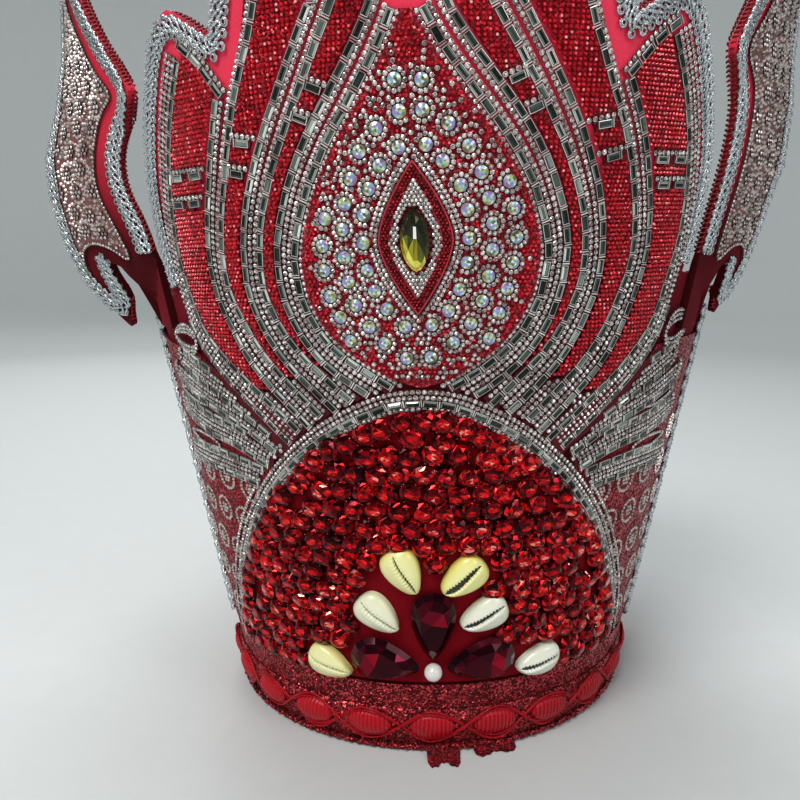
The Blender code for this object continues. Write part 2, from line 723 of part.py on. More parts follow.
def stone_bed(name, finish, outline, stones, low, high, rise, table, cell):
    """Make a plate with cut stones fused on it; stones are (angle, height, half sizes)."""
    loops = []
    for angle, height, half_width, half_height in stones:
        scale = arc_mm(height)
        loops.append([(angle + half_width * math.cos(math.radians(22.5 + 45 * i)) / scale,
                       height + half_height * math.sin(math.radians(22.5 + 45 * i)))
                      for i in range(8)])
    places, faces = triangulate(outline, [], loops, (2.0, 1.0))
    key = {(round(a, 3), round(h, 3)): i for i, (a, h) in enumerate(places)}
    points = [panel_point(a, h, high) for a, h in places]
    solid = []
    for face in faces:
        middle = tuple(sum(places[i][k] for i in face) / 3 for k in (0, 1))
        if not any(inside(middle, loop) for loop in loops):
            solid.append(face)
    for (angle, height, half_width, half_height), loop in zip(stones, loops):
        girdle = [key[(round(a, 3), round(h, 3))] for a, h in loop]
        origin, across, up, out = frame_at(*hand_cut(angle, height), high)
        base = len(points)
        for i in range(4):
            t = math.radians(45 + 90 * i)
            points.append(origin + across * half_width * table * 1.12 * math.cos(t)
                          + up * half_height * table * 1.12 * math.sin(t) + out * rise)
        for i in range(4):
            corner, following = base + i, base + (i + 1) % 4
            first, second = girdle[2 * i], girdle[2 * i + 1]
            third = girdle[(2 * i + 2) % 8]
            solid += [(first, second, corner), (second, third, corner), (third, following, corner)]
        solid.append(tuple(base + i for i in range(4)))
    grid = grid_points(outline, *cell)
    back, back_faces = triangulate(outline, grid, [], (1.0, cell[0] / cell[1]))
    start = len(points)
    points += [panel_point(a, h, low) for a, h in back]
    solid += [tuple(start + i for i in reversed(f)) for f in back_faces]
    back_key = {(round(a, 3), round(h, 3)): start + i for i, (a, h) in enumerate(back)}
    rim = [(round(a, 3), round(h, 3)) for a, h in outline]
    for a, b in zip(rim, rim[1:] + rim[:1]):
        solid.append((key[a], key[b], back_key[b], back_key[a]))
    return make_object(name, finish, points, solid)


def cluster_outlines():
    """Places that the shells and drops cover, as (angle, height, reach)."""
    covered = [(a, h, COWRIE_LENGTH / 2 - 0.5) for a, h, _ in COWRIES]
    covered.append((*CLUSTER_PLACE, 9.0))
    for _, direction in DROPS:
        for share in (0.45, 0.8):
            reach = DROP_REACH + DROP_LENGTH * share
            covered.append((CLUSTER_PLACE[0] + reach * math.cos(math.radians(direction))
                            / arc_mm(CLUSTER_PLACE[1]),
                            CLUSTER_PLACE[1] + reach * math.sin(math.radians(direction)), 9.0))
    return covered


def build_gem_arch(arch):
    """The arch of red gems, set on one plate, and the trim along its edge."""
    line = [(-a, h) for a, h in reversed(arch)] + arch[1:]
    edge = thin_out(shift_line(line, ARCH_MARGIN), 0.3, 8.0)
    edge = [p for p in edge if p[1] > ARCH_FOOT + 1.0]
    half = edge[-1][0]
    foot = [(half - 2 * half * i / 28, ARCH_FOOT) for i in range(29)]
    outline = divided(edge + foot, PLATE_CELL[0])
    covered = cluster_outlines()
    gems = []
    columns = int(half / GEM_ANGLE_PITCH)
    for i in range(-columns, columns + 1):
        for j in range(11):
            angle = i * GEM_ANGLE_PITCH
            height = GEM_FIRST_HEIGHT + GEM_HEIGHT_PITCH * (j + 0.5 * (i % 2))
            if not inside((angle, height), outline):
                continue
            if not away_from((angle, height), line, arc_mm(height), GEM_CLEAR_OF_TRIM):
                continue
            if any(math.hypot((angle - a) * arc_mm(h), height - h) < reach + 4.2
                   for a, h, reach in covered):
                continue
            gems.append((angle, height, GEM_HALF_WIDTH, GEM_HALF_HEIGHT))
    stone_bed("gem_arch", "red_gem", outline, gems, SEAT_GAP, SEAT_GAP + ARCH_PLATE,
              GEM_RISE, GEM_TABLE, PLATE_CELL)
    trim = thin_out(line, 0.35, 10.0)
    strip("arch_trim", "rhinestone_trim", trim, panel_point, TRIM_WIDTH, SEAT_GAP,
          SEAT_GAP + TRIM_THICK, shift=-1.1)


def build_eye():
    """The eye: a stone-set plate, the raised lozenge and its marquise stone."""
    margin = TRIM_WIDTH / 2 + MESH_MARGIN
    side = shift_line(band_trim("a", -1), margin)
    side = thin_out([p for p in clear_of_middle(side, 1.6) if p[1] > 165.5], 0.35, 9.0)
    outline = [(-a, h) for a, h in side] + [(0.0, EYE_FOOT)] + list(reversed(side))
    plate("eye_plate", "red_mesh", outline, panel_point, SEAT_GAP, SEAT_GAP + EYE_PLATE, cell=(4.0, 16.0))
    seat = 2 * SEAT_GAP + EYE_PLATE
    angle, height = LOZENGE_PLACE
    lozenge = []
    for sign in (1, -1):
        for i in range(10):
            y = sign * (1.0 - i / 5)
            x = sign * (1.0 - abs(y) ** 1.4)
            lozenge.append((angle + x * LOZENGE_HALF_WIDTH / arc_mm(height),
                            height + y * LOZENGE_HALF_HEIGHT))
    plate("eye_lozenge", "glitter_cloth", lozenge, panel_point, seat, seat + LOZENGE_THICK, cell=(3.0, 16.0))
    frame = frame_at(angle, height, seat + LOZENGE_THICK + SEAT_GAP + 0.1, 90.0)
    levels = [(0.86, 0.0), (1.0, 1.4), (0.56, EYE_STONE_HEIGHT)]
    half_width, half_height = EYE_STONE_HALF
    stacked("eye_stone", "eye_stone", frame, levels, oval(half_height, half_width, 12, pointed=0.35))


def build_cluster():
    """Cowrie shells, garnet drops and the pearl on the arch's plate."""
    seat = 2 * SEAT_GAP + ARCH_PLATE
    shell = oval(COWRIE_LENGTH / 2, COWRIE_WIDTH / 2, 14, egg=0.16)
    for i, (angle, height, turn) in enumerate(COWRIES):
        levels = [(0.80, 0.0), (1.0, 2.4), (0.93, 4.6), (0.70, 6.5), (0.32, COWRIE_HEIGHT)]
        stacked(f"cowrie_{i + 1}", "cowrie_shell", frame_at(angle, height, seat, turn), levels, shell)
    angle, height = CLUSTER_PLACE
    scale = arc_mm(height)
    for name, direction in DROPS:
        turn = math.radians(direction)
        middle = DROP_REACH + DROP_LENGTH / 2
        origin, along, aside, out = frame_at(angle + middle * math.cos(turn) / scale,
                                             height + middle * math.sin(turn), seat, direction)
        outline = [(x - DROP_LENGTH / 2, y) for x, y in drop_outline(DROP_LENGTH, DROP_WIDTH, 14)]
        levels = [(0.84, 0.0), (1.0, 2.2), (0.58, DROP_HEIGHT)]
        stacked(name, "garnet_drop", (origin, along, aside, out), levels, outline)
    origin, along, aside, out = frame_at(angle, height, seat)
    rings = [(math.sin(math.pi * i / 8), -math.cos(math.pi * i / 8)) for i in range(1, 8)]
    levels = [(r, PEARL_RADIUS * (1.0 + z)) for r, z in rings]
    circle = [(PEARL_RADIUS * math.cos(2 * math.pi * i / 12), PEARL_RADIUS * math.sin(2 * math.pi * i / 12))
              for i in range(12)]
    stacked("pearl", "pearl", (origin, along, aside, out), levels, circle)


def wing_outline(side):
    """Free edge of a wing from the foot of its front edge round to the arch, and its corners."""
    rows = WINGS[side]
    barb = max(rows["front"][2:6], key=lambda p: -p[0])
    points = rows["front"] + [rows["tip"]] + rows["rear"] + [rows["hook"]] + rows["arch"]
    return points, [barb, rows["tip"], rows["hook"]]


def build_wings():
    """Side wings of felt that stand off the wall, with braid, gimp and lace."""
    for side, mirror in (("left", -1), ("right", 1)):
        place = wing_place(side)
        points, corners = wing_outline(side)
        free = thin_out(cornered_spline(points, corners, 2), 0.5, 12.0)
        outline = [(mirror * a, h) for a, h in free + WING_TAB]
        plate(f"wing_{side}", "felt", outline, place, SEAT_GAP, SEAT_GAP + WING_THICK, cell=WING_CELL)
        face = SEAT_GAP + WING_THICK + WING_GAP
        back = SEAT_GAP - WING_GAP
        for kind, inset, width, low, high in (
                ("braid", BRAID_INSET + 0.4, BRAID_WIDTH, face, face + BRAID_THICK),
                ("gimp", GIMP_INSET, GIMP_WIDTH, back - GIMP_THICK, back)):
            moved = shift_corners(points, inset)
            marks = [p for p, q in zip(moved, points) if q in corners]
            line = ease_turns(cornered_spline(moved, marks, 3)[6:-9], TURN_SHARE * width)
            line = thin_out(line, 0.4, 11.0)
            finish = "silver_braid" if kind == "braid" else "red_gimp"
            strip(f"wing_{kind}_{side}", finish, [(mirror * a, h) for a, h in line], place,
                  width, low, high)
        lace = thin_out(spline(WING_LACE + WING_LACE[:1]), 0.5, 14.0)[:-1]
        plate(f"wing_lace_{side}", "rhinestone_trim", [(mirror * a, h) for a, h in lace], place,
              face, face + WING_LACE_THICK, cell=WING_CELL)


def centre_on_origin():
    """Move everything so that the middle of the model's footprint is at the origin."""
    corners = [item.matrix_world @ Vector(c) for item in bpy.data.objects for c in item.bound_box]
    shift = Vector((-(min(c.x for c in corners) + max(c.x for c in corners)) / 2,
                    -(min(c.y for c in corners) + max(c.y for c in corners)) / 2, 0.0))
    for item in bpy.data.objects:
        for vertex in item.data.vertices:
            vertex.co += shift


def main():
    """Build every piece of the crown."""
    clear_scene()
    arch = spline(ARCH_LINE)
    build_wall()
    build_edges()
    build_bands(arch)
    build_meshes()
    build_sides(arch)
    build_foot()
    build_gem_arch(arch)
    build_eye()
    build_cluster()
    build_wings()
    centre_on_origin()


main()
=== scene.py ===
"""Orisha crown, dressed: felt, rhinestone rows, bead mesh, gems, shells, braids and foot.

Places on the crown are (angle, height) pairs: degrees from the middle of the front, positive
towards +X, and millimetres above the floor. Lifts and sizes are millimetres too, and become
metres when a mesh is made.
"""
import logging
import math
from collections.abc import Callable
from dataclasses import dataclass, field
from enum import Enum

import bpy
import numpy as np
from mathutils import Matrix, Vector
from mathutils.geometry import delaunay_2d_cdt


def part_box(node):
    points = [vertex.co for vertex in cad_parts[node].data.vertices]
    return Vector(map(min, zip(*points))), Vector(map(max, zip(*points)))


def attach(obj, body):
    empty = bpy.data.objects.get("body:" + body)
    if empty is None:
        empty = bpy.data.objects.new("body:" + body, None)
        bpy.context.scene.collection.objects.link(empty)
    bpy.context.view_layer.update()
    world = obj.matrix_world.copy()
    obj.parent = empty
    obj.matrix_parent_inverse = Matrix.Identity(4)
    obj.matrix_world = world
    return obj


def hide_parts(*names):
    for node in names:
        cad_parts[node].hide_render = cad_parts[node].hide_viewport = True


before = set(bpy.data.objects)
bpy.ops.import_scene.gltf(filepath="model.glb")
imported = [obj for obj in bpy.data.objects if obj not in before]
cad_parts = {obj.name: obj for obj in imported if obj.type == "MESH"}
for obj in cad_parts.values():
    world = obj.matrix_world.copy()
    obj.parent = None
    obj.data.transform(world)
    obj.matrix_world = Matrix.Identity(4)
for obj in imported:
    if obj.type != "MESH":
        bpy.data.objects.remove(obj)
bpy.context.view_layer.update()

LOG = logging.getLogger("crown")
MM = 0.001
BODY = "root"
# A number, or one for each row
Reals = np.ndarray | float
# The wall: outer radius at the floor and its growth for each millimetre of height
RIM, FLARE = 95.0, 0.19
# Millimetres for one degree: as a mean over the wall, and on the front above the arch
MEAN_ARC, FRONT_ARC = 2.4, 2.6
# Distance of the two trims of a band from its middle
TRIM_OFFSET = 2.8
# Edges turned by more than these degrees stay crisp on cloth
CRISP = 40.0

# Right half of the panel's free edge; the left half mirrors it
# columns: angle, height
FLAME_EDGE = [
    (0.0, 382.0), (4.4, 362.0), (8.6, 335.0), (12.0, 312.0),
    (14.8, 326.0), (19.5, 352.0), (23.4, 326.0), (25.4, 305.0), (28.0, 284.0),
    (31.4, 290.0), (35.2, 297.0), (39.6, 290.0), (43.6, 274.0), (47.0, 259.0),
    (49.7, 245.0), (51.0, 232.0), (51.3, 219.0), (51.0, 208.0), (50.2, 199.5),
]
FLAME_CORNERS = (0.0, 12.0, 19.5, 28.0, 35.2)
SIDE_EDGE = [
    (50.2, 199.5), (54.0, 198.5), (62.0, 201.0), (72.0, 204.0), (84.0, 199.0), (95.0, 194.0),
    (108.0, 201.0), (120.0, 206.0), (134.0, 200.0), (148.0, 196.0), (164.0, 206.0), (180.0, 212.0),
]
# Middle line of each double band on the right half, from its top to the arch
BAND_LINES = {
    "a": [(2.9, 287.0), (5.3, 276.0), (9.0, 263.0), (13.6, 248.0), (17.6, 231.5), (20.2, 213.5),
          (20.3, 202.0), (19.4, 191.5), (16.7, 179.5), (12.5, 170.0), (6.0, 160.5)],
    "b": [(11.0, 291.0), (15.0, 274.5), (18.7, 259.5), (22.7, 242.5), (26.2, 223.0), (27.5, 203.5),
          (26.2, 190.0), (22.0, 173.5), (12.0, 152.0)],
    "c": [(28.6, 264.0), (33.0, 241.5), (36.0, 220.0), (36.6, 203.0), (34.7, 188.5),
          (30.6, 172.5), (20.0, 148.0)],
    "d": [(37.9, 282.0), (42.7, 262.0), (46.0, 243.0), (48.2, 221.0), (48.0, 203.0),
          (45.4, 182.5), (40.0, 168.5), (33.5, 156.0), (26.0, 142.0)],
}
TRIM_TOPS = {
    ("a", 1): [(2.1, 340.0), (2.3, 318.0), (3.3, 299.0)],
    ("b", -1): [(5.2, 334.0), (6.7, 320.0), (8.7, 305.0)],
    ("b", 1): [(17.7, 318.0), (16.1, 309.0), (14.3, 299.0)],
    ("c", -1): [(20.6, 317.0), (21.8, 301.0), (23.8, 284.0)],
}
OUTER_TRIM_TOP = 190.0
SLOPE_TRIM = [(27.5, 266.0), (29.6, 272.3), (32.0, 278.8), (35.2, 285.2)]
# How far each half's lines lie nearer the middle: height and degrees
PULLS = {
    ("b", "left"): [(150.0, 0.3), (200.0, 0.7)],
    ("b", "right"): [(150.0, 0.2), (200.0, 0.9)],
    ("c", "left"): [(165.0, 1.4), (182.0, 2.3), (240.0, 2.5), (264.0, 1.6), (284.0, 2.2), (317.0, 2.9)],
    ("c", "right"): [(168.0, 0.2), (195.0, 1.1), (250.0, 1.1), (280.0, 1.9), (317.0, 2.5)],
    ("d", "left"): [(150.0, 2.2), (200.0, 2.6)],
    ("d", "right"): [(168.0, 0.5), (195.0, 1.8), (260.0, 1.9)],
    ("slope", "left"): [(267.0, 0.5), (284.0, 1.8)],
    ("leaf", "left"): [(160.0, 0.0), (172.0, 2.8)],
}
ARCH_LINE = [(0.0, 157.2), (5.0, 156.0), (10.7, 151.0), (17.2, 143.0), (23.3, 133.0),
             (29.4, 121.0), (37.7, 101.0), (45.6, 77.0), (51.4, 55.0), (54.0, 35.5)]
# columns: inner line, outer line, upper end, lower end
MESH_STRIPS = {
    "mesh_inner": (("a", 1), ("b", -1), 331.0, 171.0),
    "mesh_middle": (("b", 1), ("c", -1), 313.0, 166.0),
    "mesh_outer": (("c", 1), ("d", -1), 264.0, 160.0),
}
# How much the bars of each strip rise towards the outside, per millimetre
BAR_RISE = {"mesh_inner": 0.42, "mesh_middle": 0.22, "mesh_outer": 0.03}
# Short bars across the mesh: strip, half, height
CROSS_BARS = [
    ("mesh_outer", -1, 242.0), ("mesh_outer", -1, 232.7), ("mesh_middle", -1, 250.1),
    ("mesh_middle", -1, 240.5), ("mesh_inner", -1, 264.1), ("mesh_inner", -1, 255.5),
    ("mesh_outer", 1, 239.9), ("mesh_outer", 1, 231.3), ("mesh_middle", 1, 250.5),
    ("mesh_middle", 1, 240.3), ("mesh_inner", 1, 264.2), ("mesh_inner", 1, 255.3),
]
# Cowries: angle, height, turn of the long axis in degrees, yellowness, gape and shift of the mouth
COWRIES = [
    (-22.0, 41.0, -20.0, 0.7, 0.22, 1.3), (-9.5, 68.0, -45.0, 0.25, 0.22, 1.4),
    (-3.9, 88.0, -66.0, 0.85, 0.3, 0.9), (8.0, 85.6, 218.0, 1.0, 1.05, -0.6),
    (12.7, 67.7, 204.0, 0.05, 0.8, -1.0), (26.8, 41.4, 186.0, 0.0, 0.85, -0.9),
]
# Drops: name, direction from the pearl, length, width
DROPS = [("drop_upper", 90.0, 32.0, 19.4), ("drop_left", 170.0, 29.0, 22.0),
         ("drop_right", 10.0, 29.0, 22.0)]
CLUSTER_PLACE = (2.1, 39.0)
WINGS = {
    "left": {
        "front": [(52.8, 207.0), (53.4, 222.0), (55.2, 240.0), (53.2, 256.0), (46.6, 271.0),
                  (51.4, 284.0), (55.6, 300.0), (59.6, 317.0)],
        "tip": (64.0, 338.0),
        "rear": [(69.2, 312.0), (71.4, 285.0), (72.0, 255.0), (72.0, 225.0), (71.4, 202.0)],
        "hook": (67.2, 179.0),
        "arch": [(64.0, 196.0), (62.6, 209.0), (60.6, 207.0)],
    },
    "right": {
        "front": [(52.8, 207.0), (53.2, 224.0), (53.8, 244.0), (52.8, 268.0), (47.6, 285.0),
                  (50.6, 300.0), (54.4, 318.0), (59.0, 338.0)],
        "tip": (63.6, 358.0),
        "rear": [(69.4, 328.0), (71.4, 298.0), (72.0, 262.0), (72.0, 228.0), (71.4, 206.0)],
        "hook": (67.2, 185.0),
        "arch": [(64.0, 199.0), (62.6, 209.0), (60.6, 207.0)],
    },
}
WING_TAB = [(60.2, 200.0), (60.2, 181.0), (52.8, 181.0)]
# How far the wing's back edge stands off the wall's cone: height, left, right
WING_STAND = [
    (160.0, 9.0, 2.0), (175.0, 14.0, 4.5), (187.0, 19.5, 6.0), (202.0, 24.0, 9.0), (217.0, 26.5, 11.0),
    (234.0, 27.0, 12.0), (250.0, 25.0, 13.5), (273.0, 15.5, 11.0), (292.0, 9.0, 7.0),
    (314.0, 4.0, 4.5), (340.0, 1.0, 3.0), (400.0, 0.0, 3.0),
]
# Lower end of the wing lace, from its back to its front
WING_LACE_FOOT = [(68.4, 211.0), (65.0, 216.5), (60.4, 214.5), (57.2, 209.0)]


class Half(Enum):
    """The two halves of the crown, by the sign of their angles."""

    LEFT = -1
    RIGHT = 1

    @property
    def word(self) -> str:
        """Word used in node names."""
        return self.name.lower()

    @property
    def sign(self) -> np.ndarray:
        """Factor that lays places of the right-hand pattern on this half."""
        return np.array([self.value, 1.0])


def smooth_step(t: np.ndarray) -> np.ndarray:
    """Smooth step from 0 to 1."""
    t = np.clip(t, 0.0, 1.0)
    return t * t * (3.0 - 2.0 * t)


def unit(v: np.ndarray) -> np.ndarray:
    """Rows scaled to length one."""
    return v / np.maximum(np.linalg.norm(v, axis=-1, keepdims=True), 1e-12)


def across(v: np.ndarray, z: np.ndarray) -> np.ndarray:
    """Rows made square to the rows of z, of length one."""
    return unit(v - z * np.sum(v * z, axis=1, keepdims=True))


def pairs(x: Reals, y: Reals) -> np.ndarray:
    """Rows of two numbers, such as angle and height."""
    return np.stack(np.broadcast_arrays(x, y), axis=-1)


def run_of(points: np.ndarray) -> np.ndarray:
    """Length from the start to each point of a line."""
    return np.concatenate([[0.0], np.cumsum(np.linalg.norm(np.diff(points, axis=0), axis=1))])


def sample(rows: np.ndarray, run: np.ndarray, spots: np.ndarray) -> np.ndarray:
    """Rows read off at given lengths of a run."""
    return np.stack([np.interp(spots, run, column) for column in rows.T], axis=1)


def arc_mm(height: Reals) -> Reals:
    """Millimetres along the wall for one degree at a height."""
    return np.radians(RIM + FLARE * height)


@dataclass
class Frames:
    """Origins and axes of placed things: x along, y aside, z outward."""

    origin: np.ndarray
    x: np.ndarray
    z: np.ndarray

    def __post_init__(self) -> None:
        """Complete the axes."""
        self.y = np.cross(self.z, self.x)

    def turned(self, degrees: Reals) -> "Frames":
        """Frames turned about their outward axis, by one turn each or one for all."""
        t = np.radians(np.broadcast_to(degrees, len(self.origin)))[:, None]
        return Frames(self.origin, self.x * np.cos(t) + self.y * np.sin(t), self.z)

    def world(self, local: np.ndarray) -> np.ndarray:
        """Points given in the frames: one row of them for each frame, or a grid in one frame."""
        return (self.origin[:, None] + local[..., 0:1] * self.x[:, None]
                + local[..., 1:2] * self.y[:, None] + local[..., 2:3] * self.z[:, None])


@dataclass(frozen=True)
class Cone:
    """The wall's outer face."""

    axis: tuple[float, float]

    def on_cone(self, places: np.ndarray, lift: Reals) -> np.ndarray:
        """Points on the plain cone.

        Args:
            places: rows of angle and height.
            lift: height above the face.

        Returns:
            Points in millimetres.
        """
        turn, radius = np.radians(places[:, 0]), RIM + FLARE * places[:, 1] + lift
        return np.stack([self.axis[0] + radius * np.sin(turn), self.axis[1] - radius * np.cos(turn),
                         places[:, 1]], axis=1)

    def at(self, places: np.ndarray, lift: Reals = 0.0) -> np.ndarray:
        """Points for places on this face, at a lift."""
        return self.on_cone(places, lift)

    def normals(self, places: np.ndarray, step: float = 0.2) -> tuple[np.ndarray, np.ndarray]:
        """Level and outward directions at places, of any and of unit length.

        Args:
            places: rows of angle and height.
            step: half length of the differences.

        Returns:
            Level directions of any length, and normals.
        """
        side, rise = np.array([step, 0.0]), np.array([0.0, step])
        level = self.at(places + side) - self.at(places - side)
        return level, unit(np.cross(level, self.at(places + rise) - self.at(places - rise)))

    def frames(self, places: np.ndarray, lift: Reals = 0.0, turn: Reals = 0.0) -> Frames:
        """Frames at places, x turned up from the level direction by degrees."""
        level, out = self.normals(places)
        return Frames(self.at(places, lift), unit(level), out).turned(turn)


@dataclass(frozen=True)
class Panel(Cone):
    """The front design on the wall, with the slope and lean of its hand cutting."""

    slope: float = 0.043
    lean: float = 0.012

    def at(self, places: np.ndarray, lift: Reals = 0.0) -> np.ndarray:
        """Points for places of the even design.

        Args:
            places: rows of angle and height.
            lift: height above the face.

        Returns:
            Points in millimetres.
        """
        angle, height = places.T
        ramp = smooth_step((height - 150.0) / 60.0) * (1.0 - smooth_step((np.abs(angle) - 52.0) / 22.0))
        lean = self.lean * np.maximum(0.0, height - 170.0) * np.exp(-(angle / 14.0) ** 2)
        return self.on_cone(pairs(angle - lean, height + self.slope * angle * arc_mm(height) * ramp), lift)


@dataclass(frozen=True)
class WingFace(Cone):
    """The inner face of a wing that stands off the wall."""

    half: Half = Half.LEFT

    def base(self, places: np.ndarray) -> np.ndarray:
        """Points on the inner face.

        Args:
            places: rows of angle and height.

        Returns:
            Points in millimetres.
        """
        angle, height = np.abs(places[:, 0]), places[:, 1]
        levels, *stands = np.array(WING_STAND).T
        stand = np.interp(height, levels, stands[self.half is Half.RIGHT])
        hinge = 60.0 - 8.0 * smooth_step((height - 190.0) / 22.0)
        return self.on_cone(places, stand * np.maximum(0.0, (angle - hinge) / (70.0 - hinge)))

    def at(self, places: np.ndarray, lift: Reals = 0.0) -> np.ndarray:
        """Points lifted along the wing's own outward direction.

        Args:
            places: rows of angle and height.
            lift: height above the face.

        Returns:
            Points in millimetres.
        """
        side, rise = np.array([0.4, 0.0]), np.array([0.0, 0.4])
        out = np.cross(self.base(places + side) - self.base(places - side),
                       self.base(places + rise) - self.base(places - rise))
        return self.base(places) + unit(out) * np.reshape(lift, (-1, 1))


def spline(points: list | np.ndarray, step: float = 3.0) -> np.ndarray:
    """Smooth curve through places, sampled about every step.

    Args:
        points: rows of places.
        step: about how far its samples lie apart.

    Returns:
        Rows of angle and height.
    """
    pts = np.asarray(points, float)
    curve = []
    for i, (p1, p2) in enumerate(zip(pts, pts[1:])):
        p0, p3 = pts[max(i - 1, 0)], pts[min(i + 2, len(pts) - 1)]
        length = math.hypot((p2[0] - p1[0]) * arc_mm(p1[1]), p2[1] - p1[1])
        count = max(1, round(length / step))
        for t in np.arange(count) / count:
            curve.append(0.5 * (2 * p1 + (p2 - p0) * t + (2 * p0 - 5 * p1 + 4 * p2 - p3) * t ** 2
                                + (3 * p1 - p0 - 3 * p2 + p3) * t ** 3))
    return np.array(curve + [pts[-1]])


def soften(curve: np.ndarray, rounds: int) -> np.ndarray:
    """Round the corners of an open curve, with its ends kept.

    Args:
        curve: rows of angle and height.
        rounds: how often it is smoothed.

    Returns:
        Rows of angle and height.
    """
    for _ in range(rounds):
        inner = 0.25 * curve[:-2] + 0.5 * curve[1:-1] + 0.25 * curve[2:]
        curve = np.concatenate([curve[:1], inner, curve[-1:]])
    return curve


def shift_line(curve: np.ndarray, offset: Reals) -> np.ndarray:
    """Move a curve to the right of its direction by millimetres.

    Args:
        curve: rows of angle and height.
        offset: millimetres to the right.

    Returns:
        Rows of angle and height.
    """
    scale = arc_mm(curve[:, 1])
    step = unit(np.gradient(curve, axis=0) * pairs(scale, 1.0))
    return pairs(curve[:, 0] + offset * step[:, 1] / scale, curve[:, 1] - offset * step[:, 0])


def shift_corners(points: list, offset: float) -> list:
    """Move a cornered line to the right of its direction, with mitred corners.

    Args:
        points: rows of places.
        offset: millimetres to the right.

    Returns:
        The moved points.
    """
    moved = []
    for i, (angle, height) in enumerate(points):
        scale = arc_mm(height)
        normals = []
        for a, b in zip(points[max(i - 1, 0):i + 1], points[max(i, 1):i + 2]):
            dx, dy = (b[0] - a[0]) * scale, b[1] - a[1]
            normals.append((dy / math.hypot(dx, dy), -dx / math.hypot(dx, dy)))
        nx, ny = (sum(column) / len(normals) for column in zip(*normals))
        size = max(nx * nx + ny * ny, 0.12)
        moved.append((angle + offset * nx / size / scale, height + offset * ny / size))
    return moved


def cornered_spline(points: list, corners: list, rounds: int) -> np.ndarray:
    """Smooth curve that breaks at its corner points, which are then rounded a little.

    Args:
        points: rows of places.
        corners: those of its points that stay sharp.
        rounds: how often it is smoothed.

    Returns:
        Rows of angle and height.
    """
    cuts = [i for i, point in enumerate(points[1:-1], 1) if point in corners]
    parts = [spline(points[a:b + 1])[:-1] for a, b in zip([0] + cuts, cuts)]
    return soften(np.concatenate(parts + [spline(points[cuts[-1]:])]), rounds)


def mirrored(curve: np.ndarray) -> np.ndarray:
    """The same places on the other half."""
    return curve * Half.LEFT.sign


def doubled(right: np.ndarray) -> np.ndarray:
    """A line that starts in the middle, carried over to both halves."""
    return np.concatenate([mirrored(right)[::-1], right[1:]])


def evenly(curve: np.ndarray, step: float) -> np.ndarray:
    """Line with its points at an even step, for lines of any dimension."""
    run = run_of(curve if curve.shape[1] == 3 else curve * np.array([MEAN_ARC, 1.0]))
    return sample(curve, run, np.linspace(0.0, run[-1], max(2, round(run[-1] / step) + 1)))


def inside(places: np.ndarray, outline: np.ndarray) -> np.ndarray:
    """Which places lie inside a closed outline.

    Args:
        places: rows of angle and height.
        outline: closed outline of places.

    Returns:
        A truth value for each place.
    """
    hit = np.zeros(len(places), bool)
    x, y = places.T
    for (ax, ay), (bx, by) in zip(outline, np.roll(outline, -1, axis=0)):
        if ay != by:
            hit ^= ((ay > y) != (by > y)) & (x < (bx - ax) * (y - ay) / (by - ay) + ax)
    return hit


def clearance(places: np.ndarray, outline: np.ndarray) -> np.ndarray:
    """Distance in millimetres from places to the points of a dense line.

    Args:
        places: rows of angle and height.
        outline: points of the dense line.

    Returns:
        Distance of each place.
    """
    gaps = []
    for part in np.array_split(places, 1 + len(places) // 500):
        gap = (part[:, None, :] - outline[None, :, :]) * pairs(arc_mm(part[:, 1]), 1.0)[:, None, :]
        gaps.append(np.linalg.norm(gap, axis=2).min(axis=1))
    return np.concatenate(gaps)


def pulled(line: np.ndarray, name: str, half: Half) -> np.ndarray:
    """A line of the right-hand pattern, moved towards the middle as one half needs."""
    heights, degrees = np.array(PULLS.get((name, half.word), [(0.0, 0.0)])).T
    return line - pairs(np.interp(line[:, 1], heights, degrees), 0.0)


def band_trim(band: str, side: int, half: Half = Half.RIGHT) -> np.ndarray:
    """Middle line of one trim of a band, on the right-hand pattern, top to foot.

    Args:
        band: letter of the band.
        side: 1 for the outer trim, -1 for the inner one.
        half: half of the crown that it is for.

    Returns:
        Rows of angle and height.
    """
    moved = shift_line(spline(BAND_LINES[band]), -side * TRIM_OFFSET)
    if (band, side) in TRIM_TOPS:
        moved = soften(spline(np.concatenate([TRIM_TOPS[band, side], moved[::3]])), 2)
    return pulled(moved, band, half)


def angle_at(curve: np.ndarray, height: float) -> float:
    """Angle of a curve at a height, for a curve that runs down."""
    order = np.argsort(curve[:, 1])
    return float(np.interp(height, curve[order, 1], curve[order, 0]))


